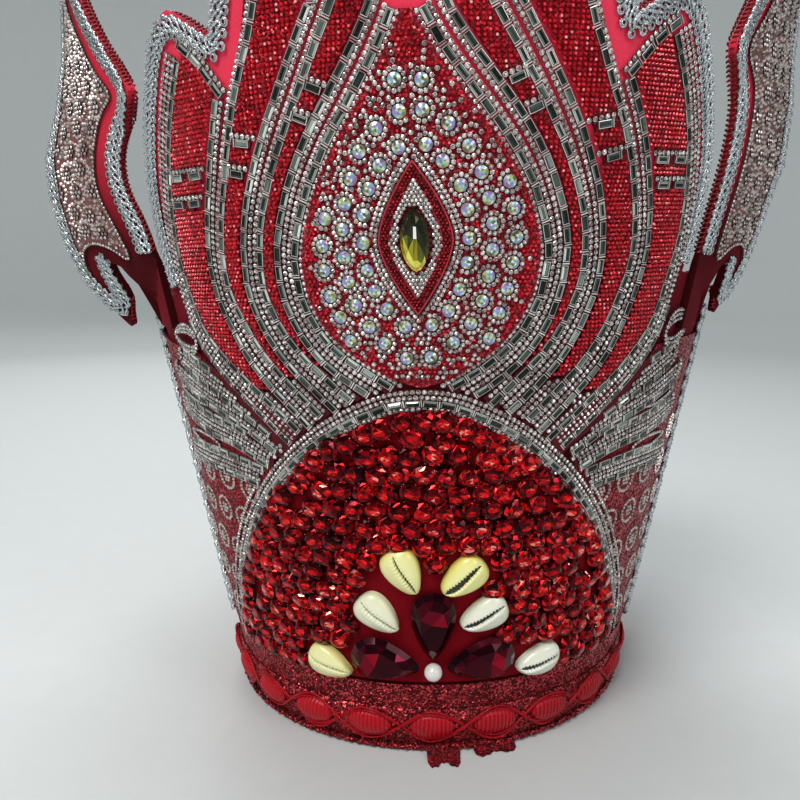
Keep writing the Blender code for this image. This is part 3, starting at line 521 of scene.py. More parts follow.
class Shape:
    """A small form to be stamped many times. Each face's look is its slot, tone and tone's spread."""

    def __init__(self, smooth: bool = False) -> None:
        """Start empty.

        Args:
            smooth: whether the faces are shaded smooth.
        """
        self.smooth = smooth
        self.points: list = []
        self.faces: list = []
        self.looks: list = []

    def ring(self, outline: list | np.ndarray, height: float) -> list[int]:
        """Add a ring of points at a height and return their indices.

        Args:
            outline: its points.
            height: height of the ring.

        Returns:
            Indices of the new points.
        """
        base = len(self.points)
        self.points += [(x, y, height) for x, y in outline]
        return list(range(base, len(self.points)))

    def face(self, corners: list, *look: float) -> None:
        """Add one face with its look."""
        self.faces.append(corners)
        self.looks.append(look)

    def join(self, low: list, high: list, *look: float) -> None:
        """Join a ring to one of the same count, or of half its count as in a brilliant's crown.

        Args:
            low: lower ring.
            high: upper ring.
            look: slot, tone and spread of the tone.
        """
        for i, a in enumerate(high):
            j = (i + 1) % len(high)
            if len(low) == len(high):
                self.face([low[i], low[j], high[j], a], *look)
                continue
            left, middle, right = low[2 * i], low[2 * i + 1], low[2 * j]
            for corners in ([left, middle, a], [middle, high[j], a], [middle, right, high[j]]):
                self.face(corners, *look)

    def fan(self, ring: list, centre: tuple, *look: float) -> None:
        """Close a ring with triangles to a point.

        Args:
            ring: indices of its points.
            centre: the point.
            look: slot, tone and spread of the tone.
        """
        self.points.append(centre)
        for a, b in zip(ring, ring[1:] + ring[:1]):
            self.face([a, b, len(self.points) - 1], *look)

    def stack(self, levels: list, looks: list, centre: tuple | None = None) -> "Shape":
        """Add rings joined upwards, closed on top by a face or by a fan, which has the last look.

        Args:
            levels: outline and height of each ring.
            looks: looks of the bands between them, and of the top.
            centre: top point, where it ends in a fan.

        Returns:
            The form itself.
        """
        rings = [self.ring(*level) for level in levels]
        for low, high, look in zip(rings, rings[1:], looks):
            self.join(low, high, *look)
        if centre:
            self.fan(rings[-1], centre, *looks[-1])
        else:
            self.face(rings[-1], *looks[-1])
        return self

    def retoned(self, change: Callable[[float, float, float], float]) -> "Shape":
        """Change the tones in the first slot by a function of the face's middle.

        Args:
            change: gives the change for a place on the form.

        Returns:
            The form itself.
        """
        for i, (slot, tone, spread) in enumerate(self.looks):
            if slot == 0:
                middle = np.mean([self.points[c] for c in self.faces[i]], axis=0)
                self.looks[i] = (slot, tone + change(*middle), spread)
        return self

    def slotted(self, slot: int) -> "Shape":
        """Put every face in one finish slot."""
        self.looks = [(slot, *look[1:]) for look in self.looks]
        return self


def oval(half_length: float, half_width: float, count: int, pointed: float = 0.0, start: float = 0.0) -> list:
    """Outline of an oval; pointed draws its ends out.

    Args:
        half_length: half its length.
        half_width: half its width.
        count: number of points round it.
        pointed: how far its ends are drawn out.
        start: first point, in steps.

    Returns:
        Pairs of numbers.
    """
    turns = [2.0 * math.pi * (i + start) / count for i in range(count)]
    return [(half_length * math.cos(t), half_width * math.sin(t) * abs(math.sin(t)) ** pointed)
            for t in turns]


def rounds(radius: float, *rows: tuple) -> list:
    """Levels of a round form: share of the radius, count, start and height."""
    return [(oval(radius * share, radius * share, count, start=start), z) for share, count, start, z in rows]


def chaton() -> Shape:
    """Small round rhinestone in a silver cup, 2 mm across."""
    levels = rounds(1.0, (1.0, 8, 0.0, 0.0), (1.0, 8, 0.0, 0.75), (0.80, 8, 0.0, 0.85), (0.48, 4, 0.5, 1.25))
    # Painted light: the silver cup's side is dark and its rim light, and the table lighter than the crown
    # facets
    return Shape().stack(levels, [(0, 0.12, 0.12), (0, 0.60, 0.25), (1, 0.46, 0.54), (1, 0.66, 0.46)])


def baguette() -> Shape:
    """Long step-cut rhinestone in a silver channel, 5.2 by 2.5 mm, and the bar that follows it.

    Returns:
        The form.
    """
    def box(x: float, y: float, z: float, middle: float = 0.0) -> tuple:
        """A rectangle of half sizes at a height."""
        return [(middle - x, -y), (middle + x, -y), (middle + x, y), (middle - x, y)], z
    # Painted light on the channel: its top lighter than its outer side, the inner lip darker as shade
    shape = Shape().stack(
        [box(2.62, 1.25, 0.0), box(2.62, 1.25, 0.95), box(2.38, 1.05, 1.0), box(2.32, 1.0, 0.8),
         box(1.95, 0.48, 1.25)],
        [(0, 0.35, 0.2), (0, 0.8, 0.2), (0, 0.2, 0.2), (2, 0.40, 0.3), (2, 0.25, 0.34)])
    # Painted light: the two long glass walls lighter than the ends, as lit edges
    near, far = 12, 14
    shape.looks[near], shape.looks[far] = (2, 0.50, 0.25), (2, 0.66, 0.3)
    # Painted light: the bar's top lighter than its sides
    return shape.stack([box(0.34, 1.5, 0.0, 3.25), box(0.2, 1.42, 1.05, 3.25)],
                       [(0, 0.45, 0.3), (0, 0.8, 0.2)])


def round_stone(radius: float = 2.35) -> Shape:
    """Round stone with radial facets seen through its table.

    Args:
        radius: half its width.

    Returns:
        The form.
    """
    levels = rounds(radius, (0.94, 16, 0.0, 0.0), (1.0, 16, 0.0, 0.55), (0.90, 16, 0.5, 1.05),
                    (0.50, 8, 0.5, 1.6))
    # Painted light: the silver cup's side darker than its top; the stone's facets get painted light from
    # change
    looks = [(1, 0.35, 0.2), (1, 0.72, 0.25), (0, 0.0, 0.05), (0, 0.0, 0.04)]

    def change(x: float, y: float, _: float) -> float:
        """Light from one side, turned on the inner facets."""
        turn = math.atan2(y, x) + (0.0 if math.hypot(x, y) < 0.5 * radius else 1.4)
        return 0.48 + 0.38 * math.sin(turn)
    return Shape().stack(levels, looks, (0.25, 0.15, 1.66)).retoned(change)


def oval_gem() -> Shape:
    """Deep oval gem, its table broken into the facets seen through it.

    Returns:
        The form.
    """
    shape = Shape()
    rows = ((0.72, 0.72, 16, 0.0, 0.0), (1.0, 1.0, 16, 0.0, 1.6), (0.82, 0.82, 16, 0.5, 2.9),
            (0.56, 0.58, 8, 0.5, 3.8), (0.25, 0.42, 8, 0.0, 3.95))
    rings = [shape.ring(oval(4.8 * a, 5.1 * b, count, start=start), z) for a, b, count, start, z in rows]
    for low, high, look in zip(rings, rings[1:], ((0.40, 0.34), (0.50, 0.46), (0.40, 0.40))):
        shape.join(low, high, 0, *look)
    table, inner = rings[-2:]
    for i in range(8):
        j = (i + 1) % 8
        shape.face([table[i], table[j], inner[i]], 0, 0.34, 0.36)
        shape.face([table[j], inner[j], inner[i]], 0, 0.50, 0.44)
    # Painted highlight: the middle of the table is lighter than the rest
    shape.fan(inner, (0.3, 0.2, 4.02), 0, 0.76, 0.24)
    corners = ((1, 0), (0, 1), (-1, 0), (0, -1))
    for turn in (38.0, 142.0, 218.0, 322.0):
        x, y = 4.5 * math.cos(math.radians(turn)), 4.7 * math.sin(math.radians(turn))
        claw = [([(lean * x + wide * dx, lean * y + wide * dy) for dx, dy in corners], z)
                for lean, wide, z in ((1.0, 0.42, 0.0), (0.9, 0.3, 2.7))]
        # Painted light: each claw's top lighter than its sides
        shape.stack(claw, [(1, 0.4, 0.4), (1, 0.7, 0.3)])
    return shape


def pear_gem(length: float, width: float) -> Shape:
    """Large pear-cut garnet, its point at -X and its table painted lighter red towards the round end, as
    light through the stone.

    Args:
        length: full length.
        width: full width.

    Returns:
        The form.
    """
    base = []
    for i in range(16):
        t = 2.0 * math.pi * i / 16
        x = 0.5 - 0.5 * math.cos(t)
        base.append((length * (x - 0.5), -width * (0.5 * math.sin(t) * (0.42 + 0.58 * x) * 1.24)))
    levels = [(np.array([(x * share + 1.6 * (1.0 - share), y * share) for x, y in base]), z)
              for share, z in ((0.86, 0.0), (1.0, 2.0), (0.84, 4.0), (0.64, 6.2))]
    table, top = levels.pop()
    levels.append(((table[::2] + table[1::2]) / 2, top))

    def change(x: float, _: float, z: float) -> float:
        """Painted light through the stone: red at the table's round end and on the pointed end's flank.

        Args:
            x: along the form.
            _: not used.
            z: height on the form.

        Returns:
            Change of the tone.
        """
        if z > 6.0:
            return 0.42 if x > 4.0 else -0.12
        return 0.12 if z > 3.5 and x < -2.0 else 0.0
    looks = [(0, 0.16, 0.12), (0, 0.30, 0.24), (0, 0.34, 0.26), (0, 0.38, 0.14)]
    return Shape().stack(levels, looks, (3.4, 0.8, 6.35)).retoned(change)


def marquise_gem() -> Shape:
    """Pointed eye stone with a painted highlight on its table; painted light makes its lower facets bright
    olive yellow and its top dark.

    Returns:
        The form.
    """
    # Small table facet that carries a painted highlight in the clear finish
    painted_highlight = [(5.2, 0.15), (1.2, 0.35), (1.1, -0.75), (5.0, -0.75)]
    levels = [(oval(9.9, 4.6, 16, 0.25), 0.0), (oval(10.4, 4.95, 16, 0.25), 1.3),
              (oval(8.8, 3.9, 16, 0.3, 0.5), 3.1), (oval(6.6, 2.5, 8, 0.2, 0.5), 4.4), (painted_highlight, 4.62)]
    looks = [(0, 0.10, 0.05), (0, 0.14, 0.06), (0, 0.12, 0.08), (0, 0.10, 0.05), (1, 0.95, 0.0)]

    def change(up: float, left: float, _: float) -> float:
        """Painted light through the stone: bright low down and on one side.

        Args:
            up: place along the stone.
            left: place across it.
            _: not used.

        Returns:
            Change of the tone.
        """
        low = min(max((1.2 - up) / 6.0, 0.0), 1.0)
        aside = min(max((left + 3.4) / 4.4, 0.9 if up < -7.0 else 0.14), 1.0)
        return 0.74 * low * aside + 0.26 * (abs(up) < 2.5 and left > 2.0)
    return Shape().stack(levels, looks).retoned(change)


def bead_dome(radius: float, tone: float = 0.42) -> Shape:
    """Low six-sided dome, as the beads of the red mesh."""
    levels = rounds(radius, (1.0, 6, 0.0, 0.0), (0.55, 6, 0.0, 0.62))
    # Painted light: the top face a little lighter than the sides
    return Shape().stack(levels, [(0, tone, 0.36), (0, tone + 0.08, 0.5)])


def loop_shape(radius: float, wire: float, count: int = 8, sides: int = 3) -> Shape:
    """A small ring of thread lying flat.

    Args:
        radius: half its width.
        wire: radius of the thread.
        count: number of points round it.
        sides: number of its sides.

    Returns:
        The form.
    """
    shape = Shape(smooth=True)
    for i in range(count):
        t = 2.0 * math.pi * i / count
        for j in range(sides):
            s, k = 2.0 * math.pi * j / sides, (j + 1) % sides
            reach = radius + wire * math.cos(s)
            shape.points.append((reach * math.cos(t), reach * math.sin(t), wire * math.sin(s)))
            a, b = sides * i, sides * ((i + 1) % count)
            shape.face([a + j, b + j, b + k, a + k], 0, 0.5, 0.2)
    return shape


def thread_axes(path: np.ndarray, out: np.ndarray, closed: bool) -> tuple[np.ndarray, np.ndarray]:
    """Sideways and upward directions along a path.

    Args:
        path: points of its middle line.
        out: outward direction at each point.
        closed: whether its ends meet.

    Returns:
        Sideways and upward rows of length one.
    """
    ahead = np.roll(path, -1, axis=0) - np.roll(path, 1, axis=0) if closed else np.gradient(path, axis=0)
    ahead = unit(ahead)
    side = unit(np.cross(out, ahead))
    return side, np.cross(ahead, side)


class Batch:
    """Gathers points and faces, then makes one joined object of them."""

    def __init__(self, name: str) -> None:
        """Start an empty batch for a piece, with its own source of unevenness.

        Args:
            name: name of the piece.
        """
        self.name = name
        self.random = np.random.default_rng(sum(ord(c) * (i + 3) for i, c in enumerate(name)))
        self.count = 0
        self.parts: list = []

    def add(self, points: np.ndarray, corners: np.ndarray, sizes: list | np.ndarray, slots: Reals = 0,
            tones: Reals = 0.5, smooth: bool = True) -> None:
        """Add faces given by flat corner indices into the new points.

        Args:
            points: new points.
            corners: indices into the new points, face after face.
            sizes: number of corners of each face.
            slots: finish slot of the faces.
            tones: tone of the faces.
            smooth: whether the faces are shaded smooth.
        """
        points = points.reshape(-1, 3)
        each = [np.broadcast_to(value, len(sizes)) for value in (sizes, slots, tones, smooth)]
        self.parts.append((points, np.ravel(corners) + self.count, *each))
        self.count += len(points)

    def stamp(self, shape: Shape, frames: Frames, scale: Reals = 1.0, each: float = 0.0) -> None:
        """Put one copy of a form at every frame; the tone of a whole copy may vary by each.

        Args:
            shape: form to copy.
            frames: one frame for each copy.
            scale: size of the copies, for all or each.
            each: how far a whole copy's tone may vary.
        """
        many = len(frames.origin)
        if not many:
            return
        points, (slots, tones, spreads) = np.array(shape.points, float), np.array(shape.looks).T
        world = frames.world(points * np.reshape(np.broadcast_to(scale, many), (-1, 1, 1)))
        index = np.concatenate(shape.faces) + len(points) * np.arange(many)[:, None]
        wander = self.random.uniform(-1.0, 1.0, (many, len(tones)))
        whole = self.random.uniform(-each, each, (many, 1))
        tones = np.clip(tones + wander * spreads + whole, 0.0, 1.0)
        sizes = np.tile([len(face) for face in shape.faces], many)
        self.add(world, index, sizes, np.tile(slots, many), tones.ravel(), shape.smooth)

    def scatter(self, shape: Shape, face: Cone, places: np.ndarray, lift: float, sway: float = 0.0,
                scale: Reals = 1.0, each: float = 0.0) -> None:
        """Stamp a form at places of a face, each copy turned by up to sway degrees.

        Args:
            shape: form to copy.
            face: face that it lies on.
            places: rows of angle and height.
            lift: height above the face.
            sway: largest turn in degrees.
            scale: size of the copies, for all or each.
            each: how far a whole copy's tone may vary.
        """
        frames = face.frames(places, lift)
        if sway:
            frames = frames.turned(self.random.uniform(0.0, sway, len(places)))
        self.stamp(shape, frames, scale, each)

    def grid(self, points: np.ndarray, closed: tuple[bool, bool] = (False, False), slot: int = 0,
             tones: Reals = 0.5, smooth: bool = True, capped: bool = False) -> None:
        """Add a surface from rows of points; rows and columns may run round, and ends may be capped.

        Args:
            points: rows of points.
            closed: whether rows and columns run round.
            slot: finish slot of the faces.
            tones: tone of the faces.
            smooth: whether the faces are shaded smooth.
            capped: whether the first and last row are closed by a face.
        """
        rows, columns = points.shape[:2]
        i = np.arange(rows if closed[0] else rows - 1)[:, None]
        j = np.arange(columns if closed[1] else columns - 1)[None]
        low, high, j2 = i * columns, (i + 1) % rows * columns, (j + 1) % columns
        quads = np.stack(np.broadcast_arrays(low + j, low + j2, high + j2, high + j), axis=-1).reshape(-1, 4)
        tones = np.broadcast_to(tones, (i.size, j.size)).ravel()
        self.add(points, quads, np.full(len(quads), 4), slot, tones, smooth)
        for end, order in ((points[0], -1), (points[-1], 1)) if capped else ():
            self.add(end, np.arange(columns)[::order], [columns], slot, 0.5, smooth)

    def tube(self, path: np.ndarray, out: np.ndarray, radius: float, sides: int = 6, closed: bool = False,
             tones: Reals = 0.5) -> None:
        """Sweep a round thread along a path, with out as its rough upward direction.

        Args:
            path: points of its middle line.
            out: outward direction at each point.
            radius: radius of the thread.
            sides: number of its sides.
            closed: whether its ends meet.
            tones: tone of the faces.
        """
        side, up = thread_axes(path, out, closed)
        t = (2.0 * math.pi * np.arange(sides) / sides)[None, :, None]
        ring = path[:, None] + radius * (np.cos(t) * side[:, None] + np.sin(t) * up[:, None])
        self.grid(ring, (closed, True), 0, tones, capped=not closed)

    def cord(self, path: np.ndarray, out: np.ndarray, radius: float, pitch: float,
             closed: bool = False) -> None:
        """Two four-sided threads twisted round each other along a path.

        Args:
            path: points of its middle line.
            out: outward direction at each point.
            radius: radius of the whole cord.
            pitch: length of one twist.
            closed: whether its ends meet.
        """
        run = run_of(path)
        total = run[-1] + (np.linalg.norm(path[-1] - path[0]) if closed else 0.0)
        turns = max(1.0, round(total / pitch)) if closed else total / pitch
        side, up = thread_axes(path, out, closed)
        for ply in (0.0, 0.5):
            t = 2.0 * math.pi * (run / total * turns + ply)
            strand = path + 0.48 * radius * (np.cos(t)[:, None] * side + np.sin(t)[:, None] * up)
            # Painted shade: each strand lighter where it lies on top and darker where it runs underneath
            tone = 0.5 + 0.35 * np.sin(t)[:-1 if not closed else None, None]
            self.tube(strand, out, 0.56 * radius, 4, closed, tone)

    def plate(self, outline: np.ndarray, face: Cone, low: float, high: float, cell: tuple[float, float],
              seam: bool = False) -> None:
        """Add a sheet of even thickness from its outline on a face.

        Args:
            outline: closed outline of places.
            face: face that it lies on.
            low: lift of its back.
            high: lift of its front.
            cell: spacing of its inner points, in degrees and millimetres.
            seam: whether its two ends meet behind, at 180 degrees.
        """
        stretch = cell[0] / cell[1]
        columns, rows = (np.arange(math.ceil(line.min() / size), line.max() / size) * size
                         for line, size in zip(outline.T, cell))
        lattice = np.stack(np.meshgrid(columns, rows), axis=-1).reshape(-1, 2)
        lattice = lattice[inside(lattice, outline)]
        if seam:
            lattice = lattice[np.abs(lattice[:, 0]) < 180.0 - 0.4 * cell[0]]
        lattice = lattice[clearance(lattice, outline) > 0.35 * cell[0] * 2.2]
        flat = [Vector((a, h * stretch)) for a, h in np.concatenate([outline, lattice])]
        edges = [(i, (i + 1) % len(outline)) for i in range(len(outline))]
        result = delaunay_2d_cdt(flat, edges, [], 1, 1e-5)
        places = np.array([(p.x, p.y / stretch) for p in result[0]])
        faces = np.array([tuple(f) for f in result[2]])
        count = len(places)
        used = {(int(f[k]), int(f[(k + 1) % 3])) for f in faces for k in range(3)}
        behind = np.abs(places[:, 0]) > 179.9
        rim = [(b, a, a + count, b + count) for a, b in used
               if (b, a) not in used and not (seam and behind[a] and behind[b])]
        corners = [faces.ravel(), (faces[:, ::-1] + count).ravel(), np.array(sorted(rim)).ravel()]
        self.add(np.concatenate([face.at(places, high), face.at(places, low)]), np.concatenate(corners),
                 [3] * 2 * len(faces) + [4] * len(rim))

    def make(self, finishes: list, slot: str, replaces: tuple = (),
             sharp: float | None = None) -> bpy.types.Object:
        """Make the object, let it ride on the crown and dress it.

        Args:
            finishes: finish of each slot.
            slot: the record's material slot; not used.
            replaces: nodes that it stands for.
            sharp: edges turned by more than these degrees stay crisp.

        Returns:
            The new object.
        """
        points, corners, sizes, slots, tones, smooth = (np.concatenate(part) for part in zip(*self.parts))
        mesh = bpy.data.meshes.new(self.name)
        mesh.vertices.add(len(points))
        mesh.vertices.foreach_set("co", (points * MM).ravel())
        mesh.loops.add(len(corners))
        mesh.loops.foreach_set("vertex_index", corners.astype(np.int32))
        mesh.polygons.add(len(sizes))
        mesh.polygons.foreach_set("loop_start", (np.cumsum(sizes) - sizes).astype(np.int32))
        mesh.polygons.foreach_set("material_index", slots.astype(np.int32))
        mesh.update(calc_edges=True)
        mesh.polygons.foreach_set("use_smooth", smooth)
        mesh.attributes.new("tone", "FLOAT", "FACE").data.foreach_set("value", tones.astype(np.float32))
        mesh.validate()
        if sharp is not None:
            mesh.set_sharp_from_angle(angle=math.radians(sharp))
        item = bpy.data.objects.new(self.name, mesh)
        bpy.context.scene.collection.objects.link(item)
        for finish in finishes:
            mesh.materials.append(finish.build())
        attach(item, BODY)
        if replaces:
            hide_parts(*replaces)
        LOG.info("%s: %d faces", self.name, len(sizes))
        return item


class Desk:
    """Places and wires nodes in one tree."""

    def __init__(self, tree: bpy.types.NodeTree) -> None:
        """Keep the tree."""
        self.tree = tree

    def feed(self, node: bpy.types.Node, inputs: dict) -> None:
        """Set a node's inputs, given by name or number, to values or to sockets.

        Args:
            node: the node.
            inputs: values or sockets by name or number.
        """
        for key, value in inputs.items():
            if isinstance(value, bpy.types.NodeSocket):
                self.tree.links.new(value, node.inputs[key])
            else:
                node.inputs[key].default_value = value

    def node(self, kind: str, settings: dict | None = None, inputs: dict | None = None) -> bpy.types.Node:
        """Add a node with its own settings and its inputs.

        Args:
            kind: type of the node.
            settings: its own settings.
            inputs: its inputs.

        Returns:
            The new node.
        """
        made = self.tree.nodes.new(kind)
        for key, value in (settings or {}).items():
            setattr(made, key, value)
        self.feed(made, inputs or {})
        return made

    def maths(self, operation: str, a: object, b: object = 0.0, clamp: bool = False) -> bpy.types.NodeSocket:
        """Result of a Math node."""
        given = {"operation": operation, "use_clamp": clamp}
        return self.node("ShaderNodeMath", given, {0: a, 1: b}).outputs[0]

    def vector(self, operation: str, inputs: dict) -> bpy.types.NodeSocket:
        """Result of a Vector Math node."""
        return self.node("ShaderNodeVectorMath", {"operation": operation}, inputs).outputs[0]

    def mix(self, factor: object, *colours: object) -> bpy.types.NodeSocket:
        """Colour between two colours."""
        a, b = (c if isinstance(c, bpy.types.NodeSocket) else (*c, 1.0) for c in colours)
        return self.node("ShaderNodeMix", {"data_type": "RGBA"}, {0: factor, 6: a, 7: b}).outputs[2]

    def ramp(self, factor: bpy.types.NodeSocket, stops: tuple) -> bpy.types.NodeSocket:
        """Colour from a ramp of stops, each a place and its colour.

        Args:
            factor: place on the ramp.
            stops: rows of place, red, green and blue.

        Returns:
            Socket of the colour.
        """
        made = self.node("ShaderNodeValToRGB", None, {0: factor})
        elements = made.color_ramp.elements
        while len(elements) < len(stops):
            elements.new(0.5)
        for element, (place, *colour) in zip(elements, stops):
            element.position = place
            element.color = (*colour, 1.0)
        return made.outputs[0]

    def where(self) -> bpy.types.NodeSocket:
        """Place on the object."""
        return self.node("ShaderNodeTexCoord").outputs["Object"]

    def tone(self) -> bpy.types.NodeSocket:
        """Tone of the face."""
        return self.node("ShaderNodeAttribute", {"attribute_name": "tone"}).outputs["Fac"]

    def grain(self, scale: float) -> bpy.types.bpy_prop_collection:
        """Outputs of the shared fibre grain."""
        return self.node("ShaderNodeGroup", {"node_tree": fibre_group()}, {"Scale": scale}).outputs

    def bump(self, height: bpy.types.NodeSocket, strength: float,
             distance: float = 0.0003) -> bpy.types.NodeSocket:
        """Normal from a height."""
        return self.node("ShaderNodeBump", None, {"Strength": strength, "Distance": distance,
                                                  "Height": height}).outputs[0]


def shared_group(name: str, inputs: dict, wire: Callable) -> bpy.types.NodeTree:
    """A shader node group, made once; wire takes a desk and the inputs, and gives the outputs.

    Args:
        name: name of the group.
        inputs: first values of its inputs by name.
        wire: takes a desk and the inputs, and gives the outputs by name.

    Returns:
        The group.
    """
    if name in bpy.data.node_groups:
        return bpy.data.node_groups[name]
    tree = bpy.data.node_groups.new(name, "ShaderNodeTree")
    for key, value in inputs.items():
        tree.interface.new_socket(key, in_out="INPUT", socket_type="NodeSocketFloat").default_value = value
    desk = Desk(tree)
    results = wire(desk, desk.node("NodeGroupInput").outputs)
    for key, value in results.items():
        kind = "NodeSocketVector" if value.type == "VECTOR" else "NodeSocketFloat"
        tree.interface.new_socket(key, in_out="OUTPUT", socket_type=kind)
    desk.feed(desk.node("NodeGroupOutput"), results)
    return tree


def fibre_group() -> bpy.types.NodeTree:
    """Fibres of cloth and thread: a fine mask, a broad mask and a height.

    Returns:
        The group.
    """
    def wire(desk: Desk, given: bpy.types.bpy_prop_collection) -> dict:
        """Wire the two scales of fibres.

        Args:
            desk: place of the nodes.
            given: sockets of the group's inputs.

        Returns:
            Sockets of the outputs by name.
        """
        where = desk.where()
        fine = desk.node("ShaderNodeTexNoise", None, {
            "Vector": where, "Scale": given["Scale"], "Detail": 3.0, "Roughness": 0.65,
            "Distortion": 0.6}).outputs[0]
        broad = desk.node("ShaderNodeTexNoise", None, {
            "Vector": where, "Scale": desk.maths("MULTIPLY", given["Scale"], 0.06), "Detail": 2.0}).outputs[0]
        return {"Fine": fine, "Broad": broad,
                "Height": desk.maths("ADD", fine, desk.maths("MULTIPLY", broad, 0.5))}
    return shared_group("fibre grain", {"Scale": 1200.0}, wire)


def flake_group() -> bpy.types.NodeTree:
    """Glitter flakes: a mask of the bright ones, a tone for each and their tilted normals.

    Returns:
        The group.
    """
    def wire(desk: Desk, given: bpy.types.bpy_prop_collection) -> dict:
        """Wire the cells and their tilt.

        Args:
            desk: place of the nodes.
            given: sockets of the group's inputs.

        Returns:
            Sockets of the outputs by name.
        """
        cells = desk.node("ShaderNodeTexVoronoi", None, {"Vector": desk.where(), "Scale": given["Scale"]})
        colour = cells.outputs["Color"]
        parts = desk.node("ShaderNodeSeparateColor", None, {0: colour}).outputs
        centred = desk.vector("SUBTRACT", {0: colour, 1: (0.5, 0.5, 0.5)})
        tilt = desk.vector("SCALE", {0: centred, "Scale": given["Tilt"]})
        normal = desk.node("ShaderNodeNewGeometry").outputs["Normal"]
        return {"Mask": desk.maths("GREATER_THAN", parts[0], desk.maths("SUBTRACT", 1.0, given["Share"])),
                "Tone": parts[1],
                "Normal": desk.vector("NORMALIZE", {0: desk.vector("ADD", {0: normal, 1: tilt})})}
    return shared_group("glitter flakes", {"Scale": 1500.0, "Share": 0.3, "Tilt": 0.8}, wire)


@dataclass(frozen=True)
class Finish:
    """A material, made once."""

    name: str

    def build(self) -> bpy.types.Material:
        """Return the material.

        Returns:
            The material.
        """
        if self.name in bpy.data.materials:
            return bpy.data.materials[self.name]
        material = bpy.data.materials.new(self.name)
        material.use_nodes = True
        desk = Desk(material.node_tree)
        desk.feed(material.node_tree.nodes["Principled BSDF"], self.inputs(desk))
        return material

    def inputs(self, desk: Desk) -> dict:
        """Inputs of the Principled shader."""
        raise NotImplementedError


@dataclass(frozen=True)
class FloorFinish(Finish):
    """Pale matt floor."""

    def inputs(self, desk: Desk) -> dict:
        """A little unevenness in one grey."""
        return {"Base Color": desk.mix(desk.grain(60.0)["Fine"], (0.57, 0.60, 0.60), (0.61, 0.64, 0.64)),
                "Roughness": 0.6}


@dataclass(frozen=True)
class StoneFinish(Finish):
    """Cut stone or metal: each facet takes its colour from its tone, which carries random variation and the
    painted light set on the forms.
    """

    stops: tuple
    roughness: float = 0.08
    metallic: float = 0.3
    coat: float = 0.8
    dust: float = 0.12
    gloss: float = 0.5

    def inputs(self, desk: Desk) -> dict:
        """Colour ramp over the tone, and dust in the roughness.

        Args:
            desk: place of the nodes.

        Returns:
            Inputs of the Principled shader by name.
        """
        grain = desk.grain(700.0)
        wander = desk.maths("MULTIPLY", desk.maths("SUBTRACT", grain["Broad"], 0.5), 0.35)
        rough = desk.maths("MULTIPLY", grain["Fine"], self.dust)
        return {"Base Color": desk.ramp(desk.maths("ADD", desk.tone(), wander, True), self.stops),
                "Roughness": desk.maths("ADD", rough, self.roughness, True), "Metallic": self.metallic,
                "Coat Weight": self.coat, "Coat Roughness": 0.03, "Specular IOR Level": self.gloss}


@dataclass(frozen=True)
class ThreadFinish(Finish):
    """Thread, cord and metal braid: painted shade from its twist, lighter on top and darker underneath,
    fibres in colour and height.
    """

    # The lit and the shaded colour, shared out by the painted twist shade and by the fibres
    light: tuple
    dark: tuple
    roughness: float = 0.5
    metallic: float = 0.0
    scale: float = 1500.0
    bump: float = 0.25
    sheen: float = 0.2
    gloss: float = 0.3

    def inputs(self, desk: Desk) -> dict:
        """Two colours, lit and shaded, shared out by the tone of painted shade and by fibres.

        Args:
            desk: place of the nodes.

        Returns:
            Inputs of the Principled shader by name.
        """
        grain = desk.grain(self.scale)
        share = desk.maths("ADD", desk.maths("MULTIPLY", desk.tone(), 0.55),
                           desk.maths("MULTIPLY", grain["Fine"], 0.55), True)
        rough = desk.maths("MULTIPLY", grain["Fine"], 0.25)
        return {"Base Color": desk.mix(share, self.dark, self.light),
                "Normal": desk.bump(grain["Height"], self.bump),
                "Roughness": desk.maths("ADD", rough, self.roughness - 0.12, True), "Metallic": self.metallic,
                "Sheen Weight": self.sheen, "Sheen Tint": (*self.light, 1.0),
                "Specular IOR Level": self.gloss}


@dataclass(frozen=True)
class FeltFinish(Finish):
    """Felt of one colour, lit high on the front, with painted shade that darkens it low down and behind."""

    # The lit colour, and the painted shade low down and behind
    high: tuple
    low: tuple
    rear: tuple
    # Heights over which the low painted shade gives way to the lit colour, and depths where the rear painted
    # shade sets in
    levels: tuple[float, float] = (0.17, 0.24)
    depths: tuple[float, float] = (-0.09, -0.03)

    def inputs(self, desk: Desk) -> dict:
        """Three colours by place, the lit one and two of painted shade, darker between the fibres.

        Args:
            desk: place of the nodes.

        Returns:
            Inputs of the Principled shader by name.
        """
        parts = desk.node("ShaderNodeSeparateXYZ", None, {0: desk.where()}).outputs
        lifted, behind = (
            desk.node("ShaderNodeMapRange", {"interpolation_type": "SMOOTHSTEP"},
                      {"Value": value, "From Min": start, "From Max": end}).outputs[0]
            for value, (start, end) in ((parts[2], self.levels), (parts[1], self.depths)))
        # Painted shade: the colour darkens towards the bottom and towards the back
        colour = desk.mix(behind, desk.mix(lifted, self.low, self.high), self.rear)
        grain = desk.grain(1400.0)
        darker = desk.node("ShaderNodeHueSaturation", None, {"Value": 0.72, "Color": colour}).outputs[0]
        return {"Base Color": desk.mix(grain["Fine"], darker, colour), "Roughness": 0.92,
                "Sheen Weight": 0.25, "Sheen Tint": (*self.high, 1.0), "Specular IOR Level": 0.12,
                "Normal": desk.bump(grain["Height"], 0.5, 0.0004)}


